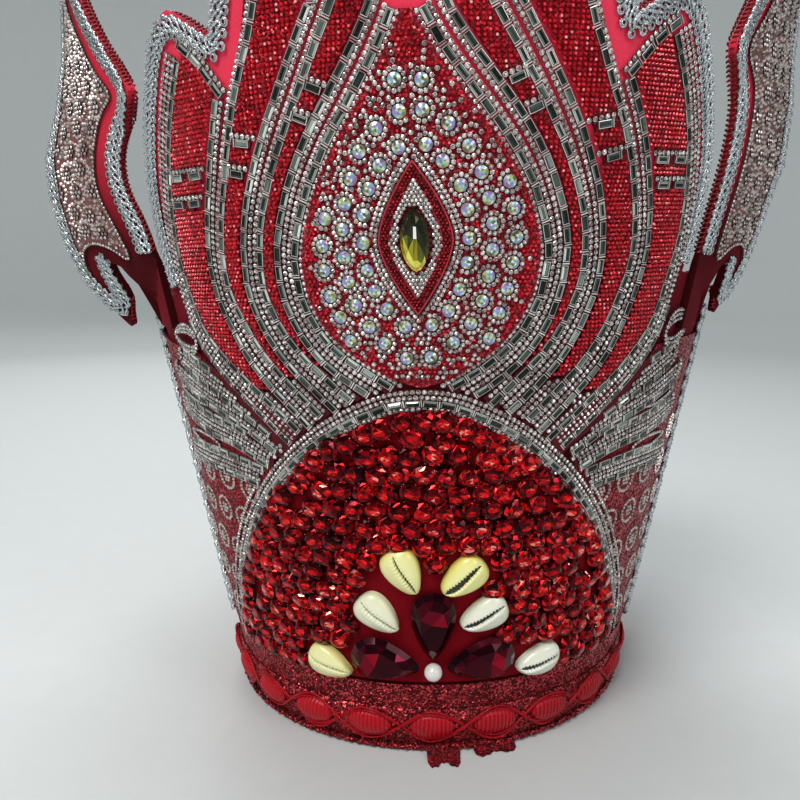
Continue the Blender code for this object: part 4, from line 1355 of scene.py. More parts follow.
@dataclass(frozen=True)
class GlitterFinish(Finish):
    """Cloth strewn with glitter flakes."""

    ground: tuple
    flake: tuple
    bright: tuple
    scale: float = 1500.0
    share: float = 0.45
    tilt: float = 1.1

    def inputs(self, desk: Desk) -> dict:
        """Flakes as small tilted mirrors on a matt ground.

        Args:
            desk: place of the nodes.

        Returns:
            Inputs of the Principled shader by name.
        """
        flakes = desk.node("ShaderNodeGroup", {"node_tree": flake_group()},
                           {"Scale": self.scale, "Share": self.share, "Tilt": self.tilt}).outputs
        mask = flakes["Mask"]
        flake = desk.mix(flakes["Tone"], self.flake, self.bright)
        return {"Base Color": desk.mix(mask, self.ground, flake),
                "Metallic": desk.maths("MULTIPLY", mask, 0.75),
                "Roughness": desk.maths("SUBTRACT", 0.75, desk.maths("MULTIPLY", mask, 0.45)),
                "Normal": flakes["Normal"], "Specular IOR Level": 0.2}


@dataclass(frozen=True)
class ShellFinish(Finish):
    """Glossy cowrie: cream, with the mouth painted dark as shade where the tone is low."""

    pale: tuple
    warm: tuple

    def inputs(self, desk: Desk) -> dict:
        """Cream that warms towards the rim, and the painted shade of the mouth.

        Args:
            desk: place of the nodes.

        Returns:
            Inputs of the Principled shader by name.
        """
        tone, grain = desk.tone(), desk.grain(900.0)
        rim = desk.maths("MULTIPLY", desk.maths("SUBTRACT", tone, 0.5), 1.7, True)
        share = desk.maths("MULTIPLY", desk.maths("ADD", rim, 0.15), desk.maths("ADD", grain["Broad"], 0.5))
        body = desk.mix(desk.maths("ADD", share, 0.0, True), self.pale, self.warm)
        # Painted shade: where the tone is low, in the mouth's groove, the shell turns near black
        edge = desk.ramp(tone, ((0.0, 0.0, 0.0, 0.0), (0.35, 1.0, 1.0, 1.0)))
        return {"Base Color": desk.mix(edge, (0.012, 0.008, 0.005), body), "Roughness": 0.28,
                "Coat Weight": 0.4, "Subsurface Weight": 0.15, "Subsurface Radius": (0.002, 0.0015, 0.001),
                "Normal": desk.bump(grain["Height"], 0.08)}


SILVER = StoneFinish("setting silver", (
    (0.0, 0.07, 0.05, 0.05), (0.5, 0.44, 0.38, 0.36), (1.0, 0.92, 0.88, 0.84)), 0.25, 0.8, 0.0)
CLEAR = StoneFinish("clear rhinestone", (
    (0.0, 0.035, 0.02, 0.02), (0.3, 0.20, 0.15, 0.145), (0.6, 0.48, 0.42, 0.40),
    (1.0, 1.0, 0.97, 0.94)), 0.07, 0.35)
LACE_STONE = StoneFinish("lace stone", (
    (0.0, 0.025, 0.016, 0.015), (0.5, 0.20, 0.15, 0.135), (1.0, 0.68, 0.60, 0.55)), 0.15, 0.45, 0.4)
SMOKE = StoneFinish("baguette glass", (
    (0.0, 0.005, 0.009, 0.007), (0.38, 0.025, 0.038, 0.032), (0.62, 0.14, 0.18, 0.155),
    (0.84, 0.42, 0.48, 0.43), (1.0, 1.0, 1.0, 0.96)), 0.06, 0.5, 0.12, 0.08, 0.2)
RAINBOW = StoneFinish("rainbow round stone", (
    (0.0, 0.03, 0.05, 0.045), (0.12, 0.10, 0.13, 0.10), (0.22, 0.46, 0.50, 0.10), (0.34, 0.55, 0.58, 0.48),
    (0.46, 0.92, 0.97, 0.92), (0.58, 0.08, 0.55, 0.60), (0.70, 0.30, 0.42, 0.52), (0.82, 0.36, 0.22, 0.66),
    (0.92, 0.16, 0.17, 0.16), (1.0, 0.62, 0.50, 0.52)), 0.06, 0.25, 0.7)
RED_STONE = StoneFinish("red gem", (
    (0.0, 0.012, 0.0, 0.001), (0.30, 0.075, 0.0005, 0.003), (0.56, 0.26, 0.001, 0.005),
    (0.80, 0.84, 0.006, 0.009), (0.93, 1.0, 0.035, 0.025), (1.0, 1.0, 0.34, 0.26)),
    0.08, 0.9, 0.12, 0.08, 0.2)
GARNET = StoneFinish("garnet drop", (
    (0.0, 0.008, 0.0, 0.001), (0.35, 0.040, 0.001, 0.006), (0.65, 0.13, 0.001, 0.012),
    (1.0, 0.42, 0.002, 0.02)), 0.06, 0.85, 0.12, 0.05, 0.2)
OLIVE = StoneFinish("olive eye stone", (
    (0.0, 0.004, 0.005, 0.001), (0.25, 0.022, 0.026, 0.004), (0.50, 0.24, 0.22, 0.006),
    (0.80, 0.90, 0.82, 0.04), (1.0, 1.0, 0.96, 0.30)), 0.05, 0.5, 0.25, 0.05, 0.3)
RED_BEAD = StoneFinish("red mesh bead", (
    (0.0, 0.11, 0.0, 0.003), (0.5, 0.52, 0.004, 0.014), (0.84, 0.90, 0.016, 0.040), (1.0, 1.0, 0.50, 0.52)),
    0.2, 0.3, 0.45, 0.12, 0.3)
CLAW = StoneFinish("rosy claw", ((0.0, 0.20, 0.01, 0.02), (1.0, 0.80, 0.22, 0.24)), 0.2, 0.9, 0.0)
BRAID_SILVER = ThreadFinish("silver braid", (0.92, 0.97, 1.0), (0.025, 0.03, 0.035), 0.26, 0.9, 2200.0, 0.5,
                            0.0, 0.5)
GIMP_RED = ThreadFinish("dark red gimp", (0.42, 0.012, 0.022), (0.02, 0.0, 0.001), 0.35)
FOOT_RED = ThreadFinish("foot braid red", (0.64, 0.004, 0.016), (0.022, 0.0, 0.001), 0.3, 0.0, 1600.0, 0.3,
                        0.0, 0.2)
CORAL_CORD = ThreadFinish("coral cord", (0.62, 0.05, 0.07), (0.24, 0.006, 0.016), 0.35)
WING_NET = ThreadFinish("wing lace net", (0.30, 0.10, 0.10), (0.05, 0.012, 0.012), 0.6)
PEARL = ThreadFinish("pearl lustre", (0.80, 0.78, 0.74), (0.62, 0.58, 0.55), 0.16, 0.0, 500.0, 0.02, 0.2, 0.6)
# Coral felt: the lit colour high on the front; the low and rear colours are painted shade
FELT_PAINTED_SHADE = FeltFinish("coral felt", (1.0, 0.055, 0.115), (0.085, 0.002, 0.006), (0.10, 0.002, 0.005),
                  (0.195, 0.262))
# Trim ground: pinkish coral high up; the low and rear colours are painted shade
TRIM_GROUND_PAINTED_SHADE = FeltFinish("trim ground", (0.60, 0.05, 0.08), (0.10, 0.012, 0.016), (0.08, 0.003, 0.006),
                         (0.20, 0.28))
# Gem cloth: one red, with painted shade towards the back
GEM_CLOTH_PAINTED_SHADE = FeltFinish("gem cloth", (0.22, 0.001, 0.007), (0.22, 0.001, 0.007), (0.08, 0.0, 0.002))
# Wing felt: coral high up; the low and rear colours are painted shade
WING_FELT_PAINTED_SHADE = FeltFinish("wing felt", (0.85, 0.036, 0.075), (0.030, 0.001, 0.002), (0.07, 0.001, 0.003),
                       (0.205, 0.262))
MESH_GROUND = GlitterFinish("mesh ground", (0.12, 0.001, 0.004), (0.30, 0.006, 0.012), (0.60, 0.10, 0.12),
                            1900.0, 0.3)
DARK_GLITTER = GlitterFinish("dark red glitter", (0.060, 0.0006, 0.003), (0.34, 0.003, 0.010),
                             (0.95, 0.12, 0.13))
LACE_GLITTER = GlitterFinish("side lace glitter", (0.10, 0.001, 0.004), (0.26, 0.002, 0.010),
                             (0.60, 0.03, 0.05))
EYE_CLOTH = GlitterFinish("eye cloth", (0.15, 0.002, 0.008), (0.34, 0.006, 0.016), (0.85, 0.10, 0.12),
                          1700.0, 0.3)
LOZENGE_CLOTH = GlitterFinish("lozenge cloth", (0.035, 0.0004, 0.002), (0.15, 0.002, 0.006),
                              (0.45, 0.04, 0.05), 1700.0, 0.35)
# Slots of the trim pieces: setting, small stones, baguettes, cloth
TRIM = [SILVER, CLEAR, SMOKE, TRIM_GROUND_PAINTED_SHADE]


@dataclass
class Fabric:
    """The felt wall and the cloths carried over from the frame."""

    panel: Panel
    thick: float = 4.0
    cell: tuple[float, float] = (1.6, 9.0)

    def build(self) -> None:
        """Make the wall and dress the plain cloths."""
        flames = cornered_spline(FLAME_EDGE, [p for p in FLAME_EDGE if p[0] in FLAME_CORNERS], 2)
        top = doubled(np.concatenate([flames, spline(SIDE_EDGE)[1:]]))
        foot = pairs(np.arange(-180.0, 180.1, self.cell[0] * 1.25), 0.0)
        right = pairs(180.0, np.arange(9.0, top[-1, 1] - 4.0, 9.0))
        outline = np.concatenate([foot, right, top[::-1], mirrored(right)[::-1]])
        wall = Batch("felt_wall")
        wall.plate(outline, self.panel, -self.thick, 0.0, self.cell, seam=True)
        wall.make([FELT_PAINTED_SHADE], "felt", ("crown_wall",), CRISP)
        finishes = {"mesh_": MESH_GROUND, "eye_plate": EYE_CLOTH, "side_lace": LACE_GLITTER,
                    "foot_cloth": DARK_GLITTER}
        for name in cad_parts:
            for start, finish in finishes.items():
                if name.startswith(start):
                    bpy.data.objects[name].material_slots[0].material = finish.build()


@dataclass
class Rows:
    """Rows of rhinestones and baguettes along lines."""

    face: Cone
    batch: Batch
    small_pitch: float = 2.12
    small_size: float = 0.94
    long_pitch: float = 6.5
    small: Shape = field(default_factory=chaton)
    long: Shape = field(default_factory=baguette)

    def spread(self, line: np.ndarray, pitch: float, lift: float) -> Frames:
        """Frames at an even pitch along a line, x along it.

        Args:
            line: dense line of places.
            pitch: distance from one to the next.
            lift: height above the face.

        Returns:
            Frames on the face.
        """
        dense = spline(line, 1.0)
        points = self.face.at(dense, lift)
        run = run_of(points)
        count = max(1, int(run[-1] / pitch))
        spots = (np.arange(count) + 0.5) * run[-1] / count
        flat = self.face.frames(sample(dense, run, spots), lift)
        ahead = sample(np.gradient(points, axis=0), run, spots)
        return Frames(flat.origin, across(ahead, flat.z), flat.z)

    def smalls(self, line: np.ndarray, lift: float, scale: float = 1.0) -> None:
        """A row of small rhinestones.

        Args:
            line: dense line of places.
            lift: height above the face.
            scale: share of the usual size and pitch.
        """
        frames = self.spread(line, self.small_pitch * scale, lift)
        turn = self.batch.random.uniform(-14.0, 14.0, len(frames.origin))
        self.batch.stamp(self.small, frames.turned(turn), self.small_size * scale, 0.2)

    def longs(self, line: np.ndarray, lift: float) -> None:
        """A row of baguettes.

        Args:
            line: dense line of places.
            lift: height above the face.
        """
        frames = self.spread(line, self.long_pitch, lift)
        turn = self.batch.random.uniform(-2.5, 2.5, len(frames.origin))
        self.batch.stamp(self.long, frames.turned(turn), 1.0, 0.25)

    def ribbon(self, line: np.ndarray, half_width: float, high: float, low: float = 0.1) -> None:
        """A flat ribbon of cloth under rows of stones.

        Args:
            line: dense line of places.
            half_width: half its width.
            high: lift of its front.
            low: lift of its back.
        """
        dense = evenly(line, 2.0)
        edges = ((-half_width, low), (-half_width, high), (half_width, high), (half_width, low))
        section = [self.face.at(shift_line(dense, side), lift) for side, lift in edges]
        self.batch.grid(np.stack(section, axis=1), (False, True), TRIM.index(TRIM_GROUND_PAINTED_SHADE), 0.5, False, True)

    def runs(self, line: np.ndarray, keep: np.ndarray, kind: str, lift: float) -> None:
        """Rows of a kind, smalls or longs, along the kept runs of a line.

        Args:
            line: dense line of places.
            keep: which of its points may carry stones.
            kind: smalls or longs.
            lift: height above the face.
        """
        shortest = 3.0 if kind == "smalls" else 6.0
        ends = np.flatnonzero(np.diff(np.concatenate([[False], keep, [False]]).astype(int)))
        for start, end in ends.reshape(-1, 2):
            part = line[start:end]
            if len(part) > 2 and run_of(self.face.at(part))[-1] > shortest:
                getattr(self, kind)(part[::2] if len(part) > 6 else part, lift)


def strip_edges(strip: str, half: Half, reach: float) -> list[np.ndarray]:
    """Lines beside a mesh strip's inner and outer trim, moved into the strip."""
    return [shift_line(band_trim(*trim, half), side * reach)
            for trim, side in zip(MESH_STRIPS[strip], (-1.0, 1.0))]


def slope_line(half: Half) -> np.ndarray:
    """Middle line of the slope trim, on the right-hand pattern."""
    return pulled(np.array(SLOPE_TRIM), "slope", half)


@dataclass
class Bands:
    """The double bands of trim, the rows that fill between them, the arch's trim and the bars."""

    panel: Panel
    lift: float = 0.75
    long_offset: float = 0.8
    small_offset: float = 1.7
    open_offset: float = 1.35
    row: float = 2.2
    arch_gap: float = 5.2
    middle_gap: float = 2.4
    bar_lift: float = 1.5

    def keep(self, line: np.ndarray, arch: np.ndarray) -> np.ndarray:
        """Which points of a line stand clear above the arch."""
        return (clearance(line, arch) > self.arch_gap) & ~inside(line, doubled(arch))

    def extended(self, line: np.ndarray, reach: float = 10.0) -> np.ndarray:
        """A line carried on straight past its foot by millimetres, in even steps.

        Args:
            line: dense line of places.
            reach: how far it is carried on.

        Returns:
            Rows of angle and height.
        """
        scale = np.array([arc_mm(line[-1, 1]), 1.0])
        step = unit((line[-1] - line[-4]) * scale) / scale
        return evenly(np.concatenate([line, line[-1] + step * np.arange(2.0, reach, 2.0)[:, None]]), 1.5)

    def build(self) -> None:
        """Lay every row."""
        arch = spline(ARCH_LINE, 1.5)
        for half in Half:
            for band in BAND_LINES:
                rows = Rows(self.panel, Batch(f"band_{band}_{half.word}"))
                for side in (-1, 1):
                    self.trim(rows, band, side, arch, half)
                self.fill(rows, band, arch, half)
                nodes = (f"trim_{band}_inner_{half.word}", f"trim_{band}_outer_{half.word}")
                rows.batch.make(TRIM, "rhinestone_trim", nodes)
            rows = Rows(self.panel, Batch(f"slope_rows_{half.word}"), long_pitch=5.8)
            line = slope_line(half) * half.sign
            rows.smalls(shift_line(line, -half.value * 1.2), self.lift)
            rows.longs(shift_line(line, half.value * 1.05), self.lift)
            rows.ribbon(line, 2.3, self.lift)
            rows.batch.make(TRIM, "rhinestone_trim", (f"trim_slope_{half.word}",))
        self.arch(arch)
        self.bars()

    def trim(self, rows: Rows, band: str, side: int, arch: np.ndarray, half: Half) -> None:
        """One trim: baguettes outside, small stones towards the band's middle.

        Args:
            rows: rows of the band's piece.
            band: letter of the band.
            side: 1 for the outer trim, -1 for the inner one.
            arch: right half of the arch line.
            half: half of the crown that it is for.
        """
        line = self.extended(band_trim(band, side, half))
        if (band, side) == ("a", -1):
            line = line[np.abs(line[:, 0]) * FRONT_ARC > self.middle_gap]
        if (band, side) == ("d", 1):
            line = line[line[:, 1] < OUTER_TRIM_TOP]
        opened = smooth_step((line[:, 1] - 215.0) / 50.0)
        smalls = self.small_offset + (self.open_offset - self.small_offset) * opened
        offsets = [("longs", -side * self.long_offset), ("smalls", side * smalls)]
        if (band, side) == ("a", -1):
            offsets.append(("smalls", self.long_offset + 2.3))
        if (band, side) == ("d", -1):
            offsets += [("smalls", -smalls - 2.1), ("smalls", -smalls - 4.2)]
        for kind, offset in offsets:
            moved = shift_line(line, offset)
            rows.runs(moved * half.sign, self.keep(moved, arch), kind, self.lift)
        rows.ribbon(line[self.keep(line, arch)] * half.sign, 2.55, self.lift)

    def fill(self, rows: Rows, band: str, arch: np.ndarray, half: Half) -> None:
        """Rows that close the wedge between this band and the one inside it.

        Args:
            rows: rows of the band's piece.
            band: letter of the band.
            arch: right half of the arch line.
            half: half of the crown that it is for.
        """
        for (inner_band, _), (outer_band, _), _, foot in MESH_STRIPS.values():
            if outer_band != band:
                continue
            near = shift_line(self.extended(band_trim(inner_band, 1, half)), -self.long_offset)
            far = self.extended(band_trim(band, -1, half))
            for k in range(6):
                line = shift_line(far, self.long_offset + 2.35 + self.row * k)
                keep = self.keep(line, arch) & (line[:, 1] < foot - 0.8) & (clearance(line, near) > 2.25)
                keep &= line[:, 0] > np.interp(-line[:, 1], -near[:, 1], near[:, 0])
                rows.runs(line * half.sign, keep, "smalls", self.lift)
                if keep.sum() > 2:
                    rows.ribbon(line[keep] * half.sign, 1.15, self.lift)

    def arch(self, right: np.ndarray) -> None:
        """Trim along the arch: baguettes between small rows.

        Args:
            right: right half of the arch line.
        """
        rows, line = Rows(self.panel, Batch("arch_rows")), doubled(right)
        rows.longs(line, self.lift)
        for offset in (-4.4, -2.3, 2.25):
            rows.smalls(shift_line(line, offset), self.lift)
        rows.ribbon(shift_line(line, -1.2), 4.2, self.lift)
        rows.batch.make(TRIM, "rhinestone_trim", ("arch_trim",))

    def bars(self) -> None:
        """Short bars of stones across the mesh strips."""
        rows = Rows(self.panel, Batch("cross_bars"), long_pitch=8.2)
        for strip, sign, height in CROSS_BARS:
            start, end = (angle_at(edge, height) for edge in strip_edges(strip, Half(sign), 2.3))
            rise = BAR_RISE[strip] * (end - start) * arc_mm(height) / 2
            line = np.array([(start, height - rise), ((start + end) / 2, height), (end, height + rise)])
            line = line * Half(sign).sign
            rows.longs(line, self.bar_lift)
            rows.smalls(shift_line(line, -sign * 2.2), self.bar_lift)
        rows.batch.make(TRIM[:3], "rhinestone_trim")


@dataclass
class BeadMesh:
    """Staggered red domes on the mesh strips."""

    panel: Panel
    pitch: float = 1.78
    lift: float = 1.42
    reach: float = 2.6

    def spots(self, name: str, half: Half) -> np.ndarray:
        """Places of the domes of a strip.

        Args:
            name: name of the strip.
            half: half of the crown that it is for.

        Returns:
            Rows of angle and height.
        """
        near, far = strip_edges(name, half, self.reach)
        top, foot = MESH_STRIPS[name][2:]
        sloped = name == "mesh_outer"
        slope = slope_line(half)
        bars = [h for strip, sign, h in CROSS_BARS if strip == name and sign == half.value]
        found = []
        rows = np.arange(foot + 0.6, (SLOPE_TRIM[-1][1] if sloped else top) - 0.6, self.pitch * 0.84)
        for i, height in enumerate(rows):
            step = self.pitch / arc_mm(height)
            start, end = angle_at(near, height), angle_at(far, height)
            for angle in np.arange(start + step * (0.4 + 0.5 * (i % 2)), end, step):
                rise = BAR_RISE[name] * (angle - (start + end) / 2) * arc_mm(height)
                if any(-1.9 < height - (h + rise) < 3.6 for h in bars):
                    continue
                if sloped and height > np.interp(angle, slope[:, 0], slope[:, 1]) - 3.4:
                    continue
                found.append((half.value * angle, height))
        return np.array(found)

    def build(self) -> None:
        """Fill every strip."""
        for name in MESH_STRIPS:
            for half in Half:
                batch = Batch(f"{name}_beads_{half.word}")
                batch.scatter(bead_dome(0.84), self.panel, self.spots(name, half), self.lift, 12.0, 1.0, 0.1)
                batch.make([RED_BEAD], "red_mesh")
                if name == "mesh_outer":
                    self.slope_ground(half)

    def slope_ground(self, half: Half, rows: int = 9, columns: int = 6) -> None:
        """The cloth under the beads that follow the slope trim.

        Args:
            half: half of the crown that it is for.
            rows: points along the slope.
            columns: points across.
        """
        near, far = strip_edges("mesh_outer", half, self.reach)
        slope, edges = slope_line(half), []
        for h in np.linspace(MESH_STRIPS["mesh_outer"][2] - 0.5, SLOPE_TRIM[-1][1] - 2.0, rows):
            inner = angle_at(near, h)
            left = max(np.interp(h + 2.0, slope[:, 1], slope[:, 0], left=inner), inner)
            edges.append([(angle_at(far, h), h), (left, h)])
        edges = np.array(edges) * half.sign
        share = np.linspace(0.0, 1.0, columns)[None, :, None]
        places = edges[:, :1] * (1.0 - share) + edges[:, 1:] * share
        points = self.panel.at(places.reshape(-1, 2), 1.4).reshape(rows, columns, 3)
        ground = Batch(f"mesh_slope_{half.word}")
        ground.grid(points if half is Half.LEFT else points[::-1])
        ground.make([MESH_GROUND], "red_mesh")


@dataclass
class Eye:
    """The eye: rings of round stones, winding strings, bead ground, lozenge and marquise."""

    panel: Panel
    centre: tuple[float, float] = (-0.1, 215.0)
    cloth_lift: float = 1.75
    # columns: half width, half height, stones
    rings: tuple = ((17.6, 30.2, 18), (25.2, 40.6, 24), (32.4, 50.2, 30))
    lens: tuple[float, float] = (12.2, 25.0)
    inner_lens: tuple[float, float] = (8.7, 19.6)
    bulge: float = 1.55
    # Lowest place of the open cloth
    foot: float = 163.5
    # Distance of the small stones from each other, and of a ring of them from a round stone's middle
    string_gap: float = 1.62
    halo: float = 3.35

    def place(self, x: np.ndarray, y: np.ndarray) -> np.ndarray:
        """Places from millimetres about the eye's middle."""
        height = self.centre[1] + y
        return pairs(self.centre[0] + x / arc_mm(height), height)

    def local(self, places: np.ndarray) -> np.ndarray:
        """Millimetres about the eye's middle for places."""
        return pairs((places[:, 0] - self.centre[0]) * arc_mm(places[:, 1]), places[:, 1] - self.centre[1])

    def lens_share(self, places: np.ndarray, lens: tuple[float, float]) -> np.ndarray:
        """1 on the edge of a lens shape, less inside it."""
        x, y = np.abs(self.local(places)).T
        return x / lens[0] + (y / lens[1]) ** self.bulge

    def lens_line(self, lens: tuple[float, float], steps: int = 15) -> np.ndarray:
        """Outline of a lens with pointed ends.

        Args:
            lens: half width and half height.
            steps: points of one side.

        Returns:
            Rows of angle and height.
        """
        y = np.sin(np.linspace(-0.5, 0.5, steps) * np.pi)
        side = pairs((1.0 - np.abs(y) ** self.bulge) * lens[0], y * lens[1])
        return self.place(*np.concatenate([side[:-1], mirrored(side)[::-1][:-1]]).T)

    def ring_line(self, wide: float, tall: float, count: int, start: float) -> np.ndarray:
        """Places at even steps round an oval.

        Args:
            wide: half width.
            tall: half height.
            count: number of places.
            start: first point, in steps.

        Returns:
            Rows of angle and height.
        """
        t = np.linspace(0.0, 2.0 * np.pi, 721)
        line = pairs(wide * np.cos(t), tall * np.sin(t))
        run = run_of(line)
        return self.place(*sample(line, run, (np.arange(count) + start) % count * run[-1] / count).T)

    def hexes(self, wide: float, tall: float, pitch: float) -> np.ndarray:
        """Staggered places over a rectangle about the eye's middle.

        Args:
            wide: half width.
            tall: half height.
            pitch: distance from one to the next.

        Returns:
            Rows of angle and height.
        """
        spots = [(x + 0.5 * pitch * (i % 2), y) for i, y in enumerate(np.arange(-tall, tall, pitch * 0.86))
                 for x in np.arange(-wide, wide, pitch)]
        return self.place(*np.array(spots).T)

    def build(self) -> None:
        """Set the stones, the strings, the beads and the lozenge."""
        side = shift_line(band_trim("a", -1), 4.4)
        side = side[(np.abs(side[:, 0]) * FRONT_ARC > 1.0) & (side[:, 1] > self.foot)]
        border = np.concatenate([mirrored(side), side[::-1]])
        stones = Batch("eye_round_stones")
        taken = []
        for k, ring in enumerate(self.rings):
            spots = self.ring_line(*ring, 0.5 * (k % 2))
            spots = spots + stones.random.normal(0.0, 1.0, spots.shape) * np.array([0.16, 0.4])
            spots = spots[inside(spots, border)]
            taken.append(spots[clearance(spots, border) > 3.0])
        taken = np.concatenate(taken)
        stones.scatter(round_stone(), self.panel, taken, self.cloth_lift, 360.0, 1.0, 0.08)
        stones.make([RAINBOW, SILVER], "rhinestone_trim")
        self.ground(border, taken, self.strings(border, taken))
        self.lozenge()

    def candidates(self, random: np.random.Generator, taken: np.ndarray) -> np.ndarray:
        """Where small stones may go, in the order that they are tried.

        Args:
            random: source of the hand's unevenness.
            taken: places of the round stones.

        Returns:
            Rows of angle and height.
        """
        groups = [evenly(self.lens_line((self.lens[0] + reach, self.lens[1] + 1.5 * reach), 41), 1.75)
                  for reach in (1.5, 3.2)]
        for x, y in self.local(taken):
            t = random.uniform(0.0, 2.0 * np.pi) + 2.0 * np.pi * np.arange(12) / 12
            groups.append(self.place(x + self.halo * np.cos(t), y + self.halo * np.sin(t)))
        field = self.hexes(42.0, 66.0, 1.78)
        field = field + random.normal(0.0, 1.0, field.shape) * np.array([0.10, 0.22])
        x, y = self.local(field).T
        winding = np.sin(0.23 * x + 1.5 * np.sin(0.16 * y)) + 0.8 * np.sin(0.19 * y - 1.2 * np.sin(0.21 * x))
        groups.append(field[(np.abs(winding) > 0.20) & ((x / 35.0) ** 2 + (y / 54.0) ** 2 < 1.0)])
        reach = 2.15 * np.arange(12)
        for t in 2.0 * np.pi * (np.arange(24) + 0.5) / 24:
            groups.append(self.place((36.0 + reach) * np.cos(t), (55.5 + reach) * np.sin(t)))
        return np.concatenate(groups)

    def strings(self, border: np.ndarray, taken: np.ndarray) -> np.ndarray:
        """Strings of small rhinestones that wind between the round stones.

        Args:
            border: outline of the open cloth.
            taken: places of the round stones.

        Returns:
            Places of the small stones.
        """
        batch = Batch("eye_strings")
        spots = self.candidates(batch.random, taken)
        spots = spots[inside(spots, border)]
        spots = spots[(clearance(spots, border) > 1.2) & (clearance(spots, taken) > 3.1)]
        spots = spots[self.lens_share(spots, self.lens) > 1.07]
        flat = self.local(spots)
        kept: list = []
        for i, spot in enumerate(flat):
            if not kept or np.min(np.sum((flat[kept] - spot) ** 2, axis=1)) > self.string_gap ** 2:
                kept.append(i)
        batch.scatter(chaton(), self.panel, spots[kept], self.cloth_lift, 45.0, 0.80, 0.22)
        batch.make([SILVER, CLEAR], "rhinestone_trim")
        return spots[kept]

    def ground(self, border: np.ndarray, taken: np.ndarray, strung: np.ndarray) -> None:
        """Dark red beads where the cloth is open.

        Args:
            border: outline of the open cloth.
            taken: places of the round stones.
            strung: places of the small stones.
        """
        batch = Batch("eye_beads")
        spots = self.hexes(46.0, 78.0, 1.7)
        spots = spots[inside(spots, border)]
        spots = spots[(clearance(spots, border) > 0.9) & (clearance(spots, taken) > 3.2)]
        spots = spots[(clearance(spots, strung) > 1.45) & (self.lens_share(spots, self.lens) > 1.08)]
        batch.scatter(bead_dome(0.82), self.panel, spots, self.cloth_lift - 0.1, 12.0, 1.0, 0.12)
        batch.make([RED_BEAD], "red_mesh")

    def lozenge(self) -> None:
        """The raised lozenge with its coral cords, beads, stones and marquise."""
        cloth = Batch("eye_lozenge_cloth")
        cloth.plate(self.lens_line(self.lens), self.panel, 2.0, 3.6, (1.0, 3.0))
        sheet = cloth.make([LOZENGE_CLOTH], "glitter_cloth", ("eye_lozenge",), CRISP)
        rim = Batch("eye_lozenge_cords")
        for lens, radius in ((self.lens, 0.30), (self.inner_lens, 0.20)):
            outline = self.lens_line(lens, 31)
            rim.tube(self.panel.at(outline, 3.5), self.panel.frames(outline).z, radius, 8, True)
        rim.make([CORAL_CORD], "glitter_cloth")
        stones = Batch("eye_lozenge_stones")
        spots = self.hexes(12.0, 22.0, 1.44)
        x, y = np.abs(self.local(spots)).T
        clear = (x > 4.95 * np.clip(1.0 - (y / 11.0) ** 2, 0.0, 1.0) ** 0.625 + 0.6) | (y > 11.0)
        fine = spots[(self.lens_share(spots, self.inner_lens) < 0.98) & clear]
        stones.scatter(chaton(), self.panel, fine, 3.62, 45.0, 0.67, 0.2)
        dots = self.hexes(14.0, 26.0, 1.25)
        dots = dots[(self.lens_share(dots, self.inner_lens) > 1.06)
                    & (self.lens_share(dots, self.lens) < 0.95)]
        stones.scatter(bead_dome(0.55, 0.14).slotted(2), self.panel, dots, 3.55, 0.0, 1.0, 0.2)
        stones.make([SILVER, CLEAR, RED_BEAD], "rhinestone_trim")
        gem = Batch("eye_marquise")
        gem.stamp(marquise_gem(), self.panel.frames(np.array([self.centre]), 4.0, 90.0))
        gem.make([OLIVE, CLEAR], "eye_stone", ("eye_stone",))


